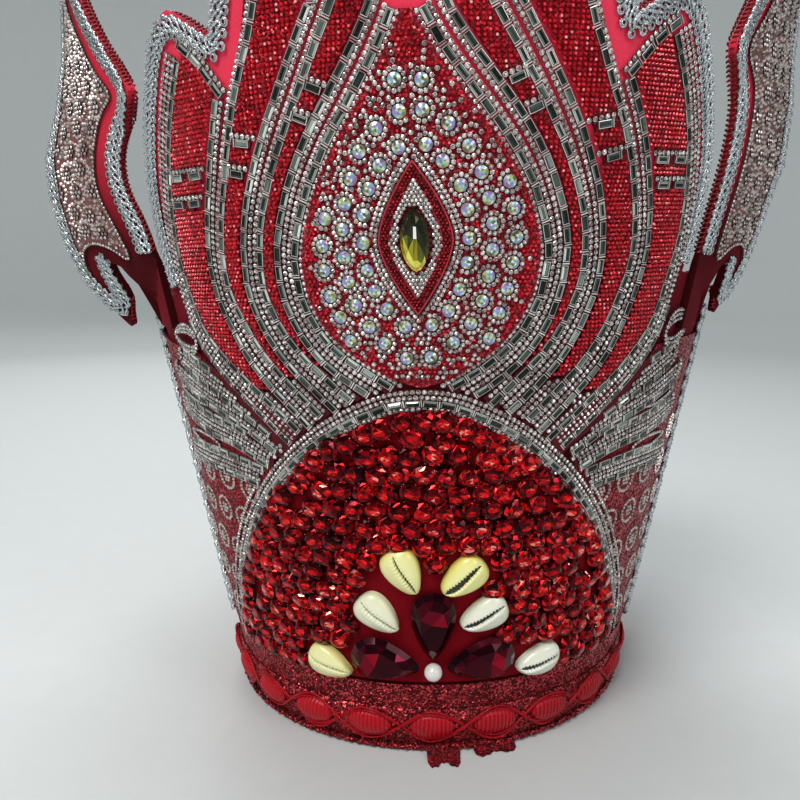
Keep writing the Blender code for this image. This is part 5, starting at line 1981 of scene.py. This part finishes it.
@dataclass
class Arch:
    """The arch of red gems on its cloth, with shells, drops and pearl."""

    panel: Panel
    foot: float = 35.0
    cloth: float = 1.8
    gem_pitch: float = 8.7
    row_pitch: float = 7.5
    first: float = 39.5
    trim_gap: float = 6.3
    cluster_rise: float = 4.0
    pearl_gap: float = 4.8
    pearl_radius: float = 3.7
    drop_length: float = 28.5
    # Distances to a gem's edge from the middle of a shell, the pearl, a drop and beside the upper drop
    reaches: tuple[float, float, float, float] = (9.6, 9.0, 11.0, 6.0)
    gem_reach: float = 2.9

    def away(self, direction: float, reach: float, angle: float, height: float) -> tuple[float, float]:
        """Place that lies at a distance and direction from another."""
        t = math.radians(direction)
        return angle + reach * math.cos(t) / arc_mm(height), height + reach * math.sin(t)

    def covered(self) -> list:
        """Places that the shells and drops cover: angle, height, reach.

        Returns:
            Rows of angle, height and distance.
        """
        shell, pearl, drop, aside = self.reaches
        spots = [(row[0], row[1], shell) for row in COWRIES] + [(*CLUSTER_PLACE, pearl)]
        spots += [(*self.away(direction, self.pearl_gap + self.drop_length * share, *CLUSTER_PLACE), drop)
                  for _, direction, _, _ in DROPS for share in (0.45, 0.8)]
        return spots + [(CLUSTER_PLACE[0] + a, CLUSTER_PLACE[1] + 16.0, aside) for a in (-8.0, 8.0)]

    def gem_places(self, outline: np.ndarray, line: np.ndarray, random: np.random.Generator) -> np.ndarray:
        """Places of the gems: a row along the trim, rows inside it, then what still fits.

        Args:
            outline: closed outline of places.
            line: middle line of the arch trim.
            random: source of the hand's unevenness.

        Returns:
            Rows of angle and height.
        """
        rows = []
        for j, height in enumerate(np.arange(self.first, 155.0, self.row_pitch)):
            turns = (np.arange(-16, 17) + 0.5 * (j % 2)) * (self.gem_pitch / arc_mm(height))
            rows.append(pairs(turns, height))
        loose = pairs(random.uniform(-55.0, 55.0, 9000), random.uniform(38.0, 153.0, 9000))
        kept = np.empty((0, 2))
        for places, gap in ((evenly(shift_line(line, self.trim_gap), 8.3), 7.0), (np.concatenate(rows), 7.5),
                            (loose, 6.5)):
            places = places[inside(places, outline) & (places[:, 1] > self.first - 1.5)]
            places = places[clearance(places, line) > self.trim_gap - 1.2]
            for a, h, reach in self.covered():
                away = np.hypot((places[:, 0] - a) * arc_mm(h), places[:, 1] - h)
                places = places[away > reach + self.gem_reach]
            for spot in places:
                if not len(kept) or clearance(spot[None], kept)[0] > gap:
                    kept = np.concatenate([kept, spot[None]])
        return kept

    def build(self) -> None:
        """Make the cloth, the gems and the cluster."""
        line = doubled(spline(ARCH_LINE))
        edge = shift_line(line, 3.0)
        edge = edge[edge[:, 1] > self.foot + 1.0]
        outline = np.concatenate([edge, pairs(np.linspace(edge[-1, 0], -edge[-1, 0], 60), self.foot)])
        cloth = Batch("arch_cloth")
        cloth.plate(outline, self.panel, 0.3, self.cloth, (2.0, 6.0))
        cloth.make([GEM_CLOTH_PAINTED_SHADE], "red_gem", (), CRISP)
        gems = Batch("arch_gems")
        places = self.gem_places(outline, line, gems.random)
        places = places + gems.random.normal(0.0, 1.0, places.shape) * np.array([0.22, 0.5])
        frames = self.panel.frames(places, self.cloth, 90.0)
        frames = frames.turned(gems.random.normal(0.0, 7.0, len(places)))
        tilt = gems.random.normal(0.0, 0.13, (len(places), 2))
        z = unit(frames.z + frames.x * tilt[:, :1] + frames.y * tilt[:, 1:])
        gems.stamp(oval_gem(), Frames(frames.origin, across(frames.x, z), z), 1.0, 0.12)
        gems.make([RED_STONE, CLAW], "red_gem", ("gem_arch",))
        self.cluster()

    def cluster(self) -> None:
        """Drops, pearl and shells."""
        seat = self.cloth + 0.3
        place = CLUSTER_PLACE[0], CLUSTER_PLACE[1] + self.cluster_rise
        for name, direction, length, width in DROPS:
            spot = self.away(direction, self.pearl_gap + length / 2, *place)
            drop = Batch(f"{name}_cut")
            frames = self.panel.frames(np.array([spot]), seat, direction)
            drop.stamp(pear_gem(length, width), frames, 1.0, 0.03)
            drop.make([GARNET], "garnet_drop", (name,))
        t, s = np.linspace(0.0, np.pi, 17)[1:-1, None], np.linspace(0.0, 2.0 * np.pi, 25)[:-1]
        ball = [np.sin(t) * np.cos(s), np.sin(t) * np.sin(s), -np.cos(t) + 1.0 + 0.0 * s]
        pearl = Batch("pearl_round")
        world = self.panel.frames(np.array([place]), seat).world(np.stack(ball, axis=-1) * self.pearl_radius)
        pearl.grid(world, (False, True), capped=True)
        pearl.make([PEARL], "pearl", ("pearl",))
        for i, (a, h, turn, warm, gape, shift) in enumerate(COWRIES):
            Cowrie(self.panel, warm, gape, shift).build(i + 1, (a, h), turn, seat)


@dataclass
class Cowrie:
    """A cowrie shell with its toothed mouth outward."""

    panel: Panel
    warm: float
    gape: float
    shift: float
    length: float = 20.6
    width: float = 14.0
    height: float = 5.9
    tooth: float = 1.45

    def build(self, number: int, place: tuple[float, float], turn: float, seat: float) -> None:
        """Model one shell and set it.

        Args:
            number: number of the shell.
            place: its angle and height.
            turn: turn of its long axis in degrees.
            seat: lift of its flat side.
        """
        u, v = np.linspace(0.0, np.pi, 101)[:, None], np.linspace(-1.0, 1.0, 57)[None]
        v = np.sign(v) * (0.3 * np.abs(v) + 0.7 * np.abs(v) ** 2)
        x = -np.cos(u) * self.length / 2 + 0.0 * v
        share = x / (self.length / 2)
        reach = np.sin(u) ** 0.8 * (1.0 - 0.34 * share - 0.04 * share ** 3) * self.width / 2 * 1.03
        lip = self.shift + 0.05 * self.width * np.sin(2.4 * share)
        side = v * 0.5 * np.pi
        y = reach * np.sin(side) + lip * np.cos(side)
        z = self.height * np.cos(side) ** 0.6 * np.sin(u) ** 0.5
        opened = np.clip(1.0 - (np.abs(share) / 0.9) ** 6, 0.0, 1.0)
        teeth = 0.5 + 0.5 * np.sin(x * 2.0 * np.pi / self.tooth)
        gap = np.abs(y - lip)
        lower = np.where(y < lip, 1.0, 0.45)
        mouth = (self.gape * (0.75 + 0.45 * share) + 0.42 * teeth * lower * (0.35 + self.gape)) * opened
        groove = np.exp(-(gap / (mouth + 0.3)) ** 4) * opened
        furrow = 0.22 * teeth * np.exp(-((gap - 1.2) / 1.3) ** 2) * opened
        roll = np.exp(-((gap - 1.9) / 1.4) ** 2) * opened
        z = np.maximum(z - 1.7 * groove - furrow + 0.4 * roll, 0.0)
        world = self.panel.frames(np.array([place]), seat, turn).world(np.stack([x, y, z], axis=-1))
        edge = np.clip(np.abs(v) ** 1.5 + 0.4 * np.abs(share) ** 3, 0.0, 1.0)
        # Tone 0 marks the mouth, which the finish paints near black as shade
        tone = np.where((gap < mouth) & (opened > 0.05), 0.0, 0.5 + 0.5 * edge)
        batch = Batch(f"cowrie_shell_{number}")
        batch.grid(world, tones=np.minimum(tone[:-1, :-1], tone[1:, 1:]))
        colours = (((0.84, 0.84, 0.74), (0.88, 0.87, 0.42)), ((0.72, 0.74, 0.58), (0.82, 0.72, 0.12)))
        pale, body = (tuple(np.array(cool) * (1.0 - self.warm) + np.array(warm) * self.warm)
                      for cool, warm in colours)
        batch.make([ShellFinish(f"cowrie {number}", pale, body)], "cowrie_shell", (f"cowrie_{number}",))


@dataclass
class Sides:
    """Fans of rows, leaves and rosettes of rhinestones on the sides, and the side braids."""

    panel: Panel
    lift: float = 1.6
    # Rosettes on the right half: angle, height
    rosettes: tuple = ((37.6, 115.0), (45.2, 117.6), (53.6, 118.0), (62.6, 118.4), (42.0, 99.6),
                       (49.4, 101.4), (57.6, 101.8), (66.0, 102.2), (47.4, 82.6), (55.2, 84.6),
                       (63.6, 85.4), (52.2, 66.2), (60.2, 68.0), (68.6, 68.6), (56.8, 49.4),
                       (65.4, 51.0), (65.0, 134.0))
    # Middle lines of the spreading groups of rows, from the side to the arch
    fan_lines: tuple = (
        ((52.0, 169.5), (44.0, 163.0), (36.4, 155.5), (29.0, 146.0), (22.5, 136.0)),
        ((56.5, 162.0), (46.0, 155.0), (35.7, 148.0), (28.0, 139.0), (20.0, 128.0)),
        ((57.5, 147.0), (48.0, 142.0), (38.6, 138.6), (31.2, 133.0), (24.0, 125.0)),
        ((58.5, 125.6), (45.0, 125.4), (36.0, 123.6), (28.0, 120.0)),
    )
    fan_rows: tuple = (("longs", -4.2), ("smalls", -1.95), ("smalls", 0.05), ("smalls", 2.05), ("longs", 4.3))
    # Leaves: inner point, outer end, half widths of their rows
    leaves: tuple = (((45.6, 150.2), (57.5, 154.6), (2.1,)), ((44.5, 131.6), (58.0, 134.2), (2.6,)),
                     ((47.4, 177.5), (56.2, 180.5), (6.9, 6.9 - 1.8, 6.9 - 3.6)))

    def leaf_line(self, start: tuple, end: tuple, half_width: float) -> np.ndarray:
        """Outline of a leaf with a pointed inner and a round outer end.

        Args:
            start: inner point.
            end: outer end.
            half_width: half its width.

        Returns:
            Rows of angle and height.
        """
        t = np.linspace(0.0, 1.0, 15)
        spread = half_width * np.sin(np.pi * t ** 0.75) ** 0.7
        scale = arc_mm(start[1])
        dx, dy = (end[0] - start[0]) * scale, end[1] - start[1]
        length = math.hypot(dx, dy)
        base = pairs(start[0] + (end[0] - start[0]) * t, start[1] + (end[1] - start[1]) * t)
        side = pairs(-dy / length / scale * spread, dx / length * spread)
        return np.concatenate([base + side, (base - side)[::-1][1:]])

    def build(self) -> None:
        """Lay both sides."""
        for half in Half:
            rows = Rows(self.panel, Batch(f"side_stones_{half.word}"))
            self.fan(rows, half)
            for start, end, half_widths in self.leaves:
                for half_width in half_widths:
                    leaf = pulled(self.leaf_line(start, end, half_width), "leaf", half)
                    rows.smalls(leaf * half.sign, self.lift, 0.85)
            for angle, height in self.rosettes:
                self.rosette(rows.batch, half.value * angle, height)
            arch = spline(ARCH_LINE)
            arch = arch[arch[:, 1] < 118.0]
            rows.smalls(shift_line(arch, -6.6) * half.sign, self.lift, 0.85)
            rows.batch.make(TRIM + [LACE_STONE], "rhinestone_trim")
            self.braid(half)

    def fan(self, rows: Rows, half: Half) -> None:
        """Groups of rows that spread from the arch to the side.

        Args:
            rows: rows of the side's piece.
            half: half of the crown that it is for.
        """
        arch, bands = spline(ARCH_LINE, 1.5), Bands(self.panel)
        taken = shift_line(bands.extended(pulled(spline(BAND_LINES["d"]), "d", half), 46.0), -5.6)
        for points in self.fan_lines:
            group = evenly(spline(points), 1.5)
            scale = np.clip((group[:, 0] - 26.0) / 20.0, 0.0, 1.0)
            laid = [taken]
            for kind, offset in self.fan_rows:
                line = shift_line(group, offset * (0.9 + 0.15 * scale))
                keep = bands.keep(line, arch)
                keep &= clearance(line, taken) > (1.5 if kind == "smalls" else 1.9)
                keep &= line[:, 0] > np.interp(-line[:, 1], -taken[:, 1], taken[:, 0])
                rows.runs(line * half.sign, keep, kind, self.lift)
                laid.append(line[keep])
            clear = group[bands.keep(group, arch) & (clearance(group, taken) > 1.5)]
            rows.ribbon(clear * half.sign, 5.4, self.lift)
            taken = np.concatenate(laid)
            taken = taken[np.argsort(-taken[:, 1])]
            # Round end of the group
            t, (angle, height) = np.linspace(-0.5, 0.5, 9) * np.pi, points[0]
            for reach in (4.4, 2.4):
                line = pairs(angle + (0.6 + reach * np.cos(t)) / arc_mm(height), height + reach * np.sin(t))
                rows.smalls(line * half.sign, self.lift, 0.9)

    def rosette(self, batch: Batch, angle: float, height: float) -> None:
        """A ring of stones round a small flower.

        Args:
            batch: piece that takes it.
            angle: angle of its middle.
            height: height of its middle.
        """
        rows = [(angle, height, 0.85)]
        for radius, count, size in ((5.2, 21, 0.78), (1.8, 6, 0.82)):
            for i in range(count):
                t = 2.0 * math.pi * i / count
                level = height + radius * math.sin(t)
                rows.append((angle + radius * math.cos(t) / arc_mm(level), level, size))
        rows = np.array(rows)
        shape = bead_dome(1.0, 0.86).slotted(len(TRIM))
        batch.scatter(shape, self.panel, rows[:, :2], self.lift, 0.0, rows[:, 2], 0.2)

    def braid(self, half: Half) -> None:
        """Silver braid down one side.

        Args:
            half: half of the crown that it is for.
        """
        cone, batch = Cone(self.panel.axis), Batch(f"side_braid_cords_{half.word}")
        heights = np.arange(35.0, 188.0, 0.8)
        for k in range(8):
            phase = heights * 2.0 * np.pi / 7.0 + 2.1 * k
            wave = 2.48 * k - 12.4 + 1.5 * np.sin(phase)
            places = pairs(half.value * (77.5 + wave / arc_mm(heights)), heights)
            batch.cord(cone.at(places, 1.9 + 0.7 * np.cos(phase)), cone.frames(places).z, 1.5, 4.0)
        batch.make([BRAID_SILVER], "silver_braid", (f"side_braid_{half.word}",))


def silver_braid(batch: Batch, face: Cone, line: np.ndarray, lift: float, side: float = 1.0) -> None:
    """Two wavy twisted cords between two finer ones, and a row of small loops.

    Args:
        batch: piece that takes it.
        face: face that it lies on.
        line: dense line of places.
        lift: height above the face.
        side: 1 where its loops lie to the right of the line, -1 to the left.
    """
    wire, wave = 0.92, 6.8
    dense = evenly(line, 0.75)
    run = run_of(face.at(dense))
    phase = run * 2.0 * np.pi / wave
    # columns: offset, swing, start, beats
    for offset, swing, beat, fast in ((-3.1, 0.45, 0.0, 2.0), (-1.3, 1.25, 0.0, 1.0),
                                      (-1.3, 1.25, np.pi, 1.0), (0.6, 0.6, 0.5, 2.0)):
        places = shift_line(dense, side * (offset + swing * np.sin(fast * phase + beat)))
        height = lift + wire + 0.45 * np.cos(fast * phase + beat)
        batch.cord(face.at(places, height), face.frames(places).z, wire, 2.6)
    centres = shift_line(sample(dense, run, np.arange(1.7, run[-1] - 1.0, wave / 2)), side * 2.3)
    for reach, size in ((0.0, 1.0), (0.35, 0.62)):
        batch.scatter(loop_shape(1.4, 0.46), face, centres, lift + 0.7 + reach, 0.0, size, 0.25)


def gimp(batch: Batch, face: Cone, line: np.ndarray, lift: float, wide: float = 2.1,
         tall: float = 0.95) -> None:
    """Thread coiled round a line, with a cord down its middle.

    Args:
        batch: piece that takes it.
        face: face that it lies on.
        line: dense line of places.
        lift: height above the face.
        wide: half width.
        tall: half its thickness.
    """
    dense = evenly(line, 0.23)
    points, out = face.at(dense, lift), face.frames(dense).z
    side = unit(np.cross(out, unit(np.gradient(points, axis=0))))
    t = run_of(points) * 2.0 * np.pi / 1.9
    coil = points + side * (wide * np.cos(t))[:, None] + out * (tall * np.sin(t))[:, None]
    # Painted shade: the coil lighter on its outer turns and darker where it runs underneath
    batch.tube(coil, out, 0.46, 4, tones=0.5 + 0.4 * np.sin(t)[:-1, None])
    core = evenly(line, 1.0)
    batch.cord(face.at(core, lift + tall * 0.6), face.frames(core).z, 0.8, 2.6)


def inset_edge(points: list, corners: list, inset: float) -> np.ndarray:
    """Smooth line inside a cornered edge."""
    moved = shift_corners(points, inset)
    return cornered_spline(moved, [p for p, q in zip(moved, points) if q in corners], 5)


@dataclass
class Edges:
    """Braid and gimp round the wall's free edge."""

    panel: Panel

    def build(self) -> None:
        """Lay the braid and the gimp."""
        edge = [(-a, h) for a, h in reversed(FLAME_EDGE)] + FLAME_EDGE[1:]
        corners = [p for p in edge if abs(p[0]) in FLAME_CORNERS]
        front = Batch("front_braid_cords")
        line = inset_edge(edge, corners, 3.8)
        silver_braid(front, self.panel, line[line[:, 1] > 200.4], 0.2)
        front.make([BRAID_SILVER], "silver_braid", ("front_braid",))
        coil = Batch("front_gimp_coil")
        gimp(coil, self.panel, inset_edge(edge, corners, 1.2), -5.4)
        gimp(coil, self.panel, inset_edge(edge, corners, 0.1), -2.0, 0.9, 1.7)
        coil.make([GIMP_RED], "red_gimp", ("front_gimp",))
        side = spline(SIDE_EDGE)
        side = side[side[:, 0] > 76.0]
        line = np.concatenate([side[:-1], pairs(360.0 - side[::-1, 0], side[::-1, 1])])
        back = Batch("back_braid_cords")
        silver_braid(back, Cone(self.panel.axis), shift_line(line, 3.6), 0.2)
        back.make([BRAID_SILVER], "silver_braid", ("back_braid",))


@dataclass
class Wing:
    """A side wing: felt, braid, gimp and lace."""

    axis: tuple[float, float]
    half: Half
    under: float = 0.3
    thick: float = 3.0

    def __post_init__(self) -> None:
        """Read the wing's free edge on the right-hand pattern, and its corners."""
        self.face = WingFace(self.axis, self.half)
        self.rows = rows = WINGS[self.half.word]
        self.points = rows["front"] + [rows["tip"]] + rows["rear"] + [rows["hook"]] + rows["arch"]
        barb = min(rows["front"][2:6], key=lambda place: place[0])
        self.corners = [barb, rows["tip"], rows["hook"]]
        self.over = self.under + self.thick

    def edge(self, inset: float, short: int) -> np.ndarray:
        """Line along the free edge that ends some points before the arch's."""
        return inset_edge(self.points, self.corners, inset)[2:-short] * self.half.sign

    def build(self) -> None:
        """Make the wing."""
        word, face = self.half.word, self.face
        free = cornered_spline(self.points, self.corners, 2)
        tab = spline([tuple(free[-1])] + WING_TAB[:1])[1:]
        felt = Batch(f"wing_felt_{word}")
        felt.plate(np.concatenate([free, tab, np.array(WING_TAB[1:])]) * self.half.sign, face, self.under,
                   self.over, (1.2, 4.0))
        felt.make([WING_FELT_PAINTED_SHADE], "felt", (f"wing_{word}",), CRISP)
        braid = Batch(f"wing_braid_cords_{word}")
        silver_braid(braid, face, self.edge(2.9, 3), self.over, self.half.value)
        braid.make([BRAID_SILVER], "silver_braid", (f"wing_braid_{word}",))
        coil = Batch(f"wing_gimp_coil_{word}")
        gimp(coil, face, self.edge(2.8, 8), -1.0, 1.9, 0.8)
        gimp(coil, face, self.edge(0.1, 8), self.under + self.thick / 2, 0.8, 1.2)
        coil.make([GIMP_RED], "red_gimp", (f"wing_gimp_{word}",))
        self.lace()

    def lace_line(self) -> np.ndarray:
        """Outline of the lace on the right-hand pattern.

        Returns:
            Rows of angle and height.
        """
        count = len(self.rows["front"])
        front = shift_corners(self.points, 11.5 if self.half is Half.LEFT else 9.5)[1:count]
        rear = shift_corners(self.points, 6.4)[count:count + len(self.rows["rear"]) + 1]
        return soften(spline(front + rear + WING_LACE_FOOT + front[:1])[:-1], 2)

    def lace(self) -> None:
        """Rosettes of rhinestones and beads sewn over the felt."""
        word, sign, face, outline = self.half.word, self.half.sign, self.face, self.lace_line()
        ground = Batch(f"wing_lace_net_{word}")
        ground.plate(outline * sign, face, self.over + 0.1, self.over + 0.7, (1.0, 4.0))
        sheet = ground.make([WING_NET], "rhinestone_trim", (f"wing_lace_{word}",), CRISP)
        batch = Batch(f"wing_lace_stones_{word}")
        rows, random = Rows(face, batch), batch.random
        rows.smalls(np.concatenate([outline, outline[:1]]) * sign, self.over + 0.7, 0.8)
        low, high = outline.min(axis=0), outline.max(axis=0)
        stones, beads = [], []
        for i, height in enumerate(np.arange(low[1], high[1], 8.0)):
            for angle in np.arange(low[0] + (i % 2) * 1.9, high[0] + 2.0, 3.8):
                place = np.array([angle, height]) + random.normal(0.0, 1.0, 2) * np.array([0.25, 0.6])
                for reach, count, kept in ((0.0, 1, stones), (1.9, 6, stones), (3.9, 13, beads)):
                    t = 2.0 * math.pi * np.arange(count) / count
                    kept.append(place + pairs(reach * np.cos(t) / arc_mm(height), reach * np.sin(t)))
        loose = pairs(random.uniform(low[0], high[0], 1500), random.uniform(low[1], high[1], 1500))
        loose = loose[clearance(loose, np.concatenate(stones + beads)) > 1.3]
        for spots, shape, size in ((np.concatenate(stones), rows.small, 0.80),
                                   (np.concatenate(beads), bead_dome(0.95, 0.72), 1.0),
                                   (loose, bead_dome(0.8, 0.4), 1.0)):
            spots = spots[inside(spots, outline)]
            spots = spots[clearance(spots, outline) > 1.6]
            batch.scatter(shape, face, spots * sign, self.over + 0.7, 0.0, size, 0.3)
        batch.make([LACE_STONE, CLEAR], "rhinestone_trim")


@dataclass
class Foot:
    """Padded braid, scallops and glitter round the foot."""

    cone: Cone
    medallions: int = 23
    seat: float = 1.6
    middle: float = 12.9
    start: float = 2.0

    def build(self) -> None:
        """Make the padded ovals, the cords and the scallops."""
        step = 360.0 / self.medallions
        turns = np.linspace(0.0, 360.0, 24 * self.medallions + 1)[:-1]
        profile = ((0.0, 3.6), (1.0, 4.6), (1.1, 12.0), (1.0, 19.8), (0.0, 20.8))
        band = [self.cone.at(pairs(turns, height), self.seat + lift) for lift, height in profile]
        under = Batch("foot_braid_ground")
        under.grid(np.stack(band, axis=1), (True, False))
        under.make([DARK_GLITTER], "glitter_cloth")
        braid = Batch("foot_braid_padded")
        for i in range(self.medallions):
            self.medallion(braid, self.start + i * step)
        for sign in (1.0, -1.0):
            for reach in (8.0, 6.4):
                wave = np.cos((turns - self.start) * np.pi / step)
                places = pairs(turns, self.middle + reach * sign * wave)
                lifts = self.seat + 2.0 + 0.7 * np.sin(turns * 2.0 * np.pi / step) * sign
                braid.cord(self.cone.at(places, lifts), self.cone.frames(places).z, 0.72, 2.4, closed=True)
        braid.make([FOOT_RED], "foot_gimp", ("foot_braid",))
        self.scallops()

    def medallion(self, batch: Batch, angle: float, rows: int = 45, columns: int = 13) -> None:
        """A ribbed padded oval.

        Args:
            batch: piece that takes it.
            angle: angle of its middle.
            rows: points along it.
            columns: points across.
        """
        u, v = np.linspace(-1.0, 1.0, rows)[:, None], np.linspace(-1.0, 1.0, columns)[None]
        half_height = 6.3 * np.sqrt(np.clip(1.0 - u ** 2, 0.0, 1.0)) ** 0.9
        rib = 0.6 * np.abs(np.sin(u * np.pi * 5.5)) ** 0.6
        round_v = np.sqrt(np.clip(1.0 - v ** 2, 0.0, 1.0))
        z = 1.0 + 3.0 * np.sqrt(np.clip(1.0 - u ** 2 * 0.96, 0.0, 1.0)) * round_v + rib * round_v
        flat = pairs(angle + (9.3 * u + 0 * v) / arc_mm(11.0), self.middle + half_height * v).reshape(-1, 2)
        points = self.cone.at(flat, (self.seat + z).ravel()).reshape(rows, columns, 3)
        # Painted shade: dark in the grooves between the ribs, light on the rib tops
        batch.grid(points, tones=0.02 + 0.85 * (rib / 0.6)[:-1])

    def scallops(self) -> None:
        """Glitter loops under the braid, and two frayed tabs in front."""
        hem = Batch("foot_scallops")
        turns = np.linspace(0.0, 360.0, 1300)[:-1]
        wave = np.sin(turns * np.pi / 3.0)
        places = pairs(turns, 1.5 + 0.8 * np.abs(wave))
        lifts = 3.0 + 0.9 * wave ** 2 + 0.35 * np.sin(turns * 3.1)
        hem.cord(self.cone.at(places, lifts), self.cone.frames(places).z, 1.15, 3.4, closed=True)
        u, v = np.linspace(-1.0, 1.0, 22)[:, None], np.linspace(0.0, 1.0, 10)[None]
        for middle, wide, reach in ((4.6, 8.6, 15.0), (17.6, 12.0, 9.5)):
            fray = 0.84 + 0.11 * np.sin(u * 5.0 + middle) + 0.05 * np.cos(u * 16.0)
            height = 2.6 * (1.0 - v) ** 2 + 0.7 + 0.45 * np.sin(u * 7.0 + v * 5.0) * v
            flat = pairs(middle + wide / 2 * u * (1.0 - 0.15 * v), height).reshape(-1, 2)
            points = self.cone.at(flat, (1.0 + reach * v * fray).ravel()).reshape(22, 10, 3)
            hem.grid(points)
            hem.grid(points[::-1] - np.array([0.0, 0.0, 0.5]))
        hem.make([DARK_GLITTER], "glitter_cloth")


@dataclass(frozen=True)
class Studio:
    """Camera, lights and the pale floor."""

    axis: tuple[float, float]
    camera_place: tuple[float, float, float] = (10.0, -411.5, 208.8)
    pitch: float = 10.0
    centre_pixel: float = 430.0

    def build(self) -> None:
        """Set the studio."""
        x, y, z = self.camera_place
        data = bpy.data.cameras.new("camera")
        data.lens = data.sensor_width = 36.0
        data.shift_x = -(self.centre_pixel - 400.0) / 800.0
        data.clip_start = 0.01
        camera = bpy.data.objects.new("camera", data)
        camera.location = ((self.axis[0] + x) * MM, (self.axis[1] + y) * MM, z * MM)
        camera.rotation_euler = (math.radians(90.0 - self.pitch), 0.0, math.atan2(x, -y))
        scene = bpy.context.scene
        scene.collection.objects.link(camera)
        scene.camera = camera
        scene.view_settings.view_transform = "Standard"
        self.floor()
        self.lamps()

    def floor(self, count: int = 96) -> None:
        """Pale round floor that sweeps up far off on every side.

        Args:
            count: number of its sides.
        """
        profile = ((0.6, 0.0), (1.6, 0.0), (1.9, 0.05), (2.15, 0.2), (2.3, 0.45), (2.35, 0.8), (2.35, 2.0))
        turns = [2.0 * math.pi * i / count for i in range(count)]
        points = [(r * math.sin(t), r * math.cos(t), z) for r, z in profile for t in turns]
        faces = [tuple(range(count))[::-1]]
        for k in range(0, len(points) - count, count):
            faces += [(k + i, k + (i + 1) % count, k + count + (i + 1) % count, k + count + i)
                      for i in range(count)]
        mesh = bpy.data.meshes.new("floor")
        mesh.from_pydata(points, [], faces)
        mesh.polygons.foreach_set("use_smooth", [True] * len(faces))
        mesh.materials.append(FloorFinish("pale floor").build())
        item = bpy.data.objects.new("floor", mesh)
        bpy.context.scene.collection.objects.link(item)

    def lamps(self) -> None:
        """Soft lamps above and beside the camera, and pale light all round."""
        # columns: name, place, aim, size, power, colour
        rows = (
            ("key", (-0.5, -1.1, 1.5), (0.0, -0.05, 0.15), 0.8, 23.0, (1.0, 0.99, 0.97)),
            ("fill", (1.1, -1.0, 0.9), (0.0, -0.05, 0.15), 0.6, 5.0, (0.97, 0.99, 1.0)),
            ("top", (0.0, 0.2, 1.7), (0.0, 0.0, 0.1), 0.8, 11.0, (1.0, 1.0, 1.0)),
            ("rear", (-0.6, 1.3, 1.0), (0.0, 0.0, 0.2), 0.8, 7.0, (1.0, 1.0, 1.0)),
        )
        for name, place, aim, size, power, colour in rows:
            data = bpy.data.lights.new(name, "AREA")
            data.shape, data.size, data.energy, data.color = "SQUARE", size, power, colour
            lamp = bpy.data.objects.new(name, data)
            lamp.location = place
            lamp.rotation_euler = (Vector(aim) - Vector(place)).to_track_quat("-Z", "Y").to_euler()
            bpy.context.scene.collection.objects.link(lamp)
        world = bpy.data.worlds.new("studio")
        world.use_nodes = True
        Desk(world.node_tree).feed(world.node_tree.nodes["Background"],
                                   {"Color": (0.75, 0.78, 0.80, 1.0), "Strength": 0.29})
        bpy.context.scene.world = world


def main() -> None:
    """Build and dress the crown about the middle of the foot cloth."""
    logging.basicConfig(level=logging.INFO, format="%(name)s: %(message)s")
    low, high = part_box("foot_cloth")
    axis = (low[0] + high[0]) / 2 / MM, (low[1] + high[1]) / 2 / MM
    Studio(axis).build()
    for part in (Fabric, Bands, BeadMesh, Eye, Arch, Sides, Edges):
        part(Panel(axis)).build()
    for half in Half:
        Wing(axis, half).build()
    Foot(Cone(axis)).build()


if __name__ == "__main__":
    main()
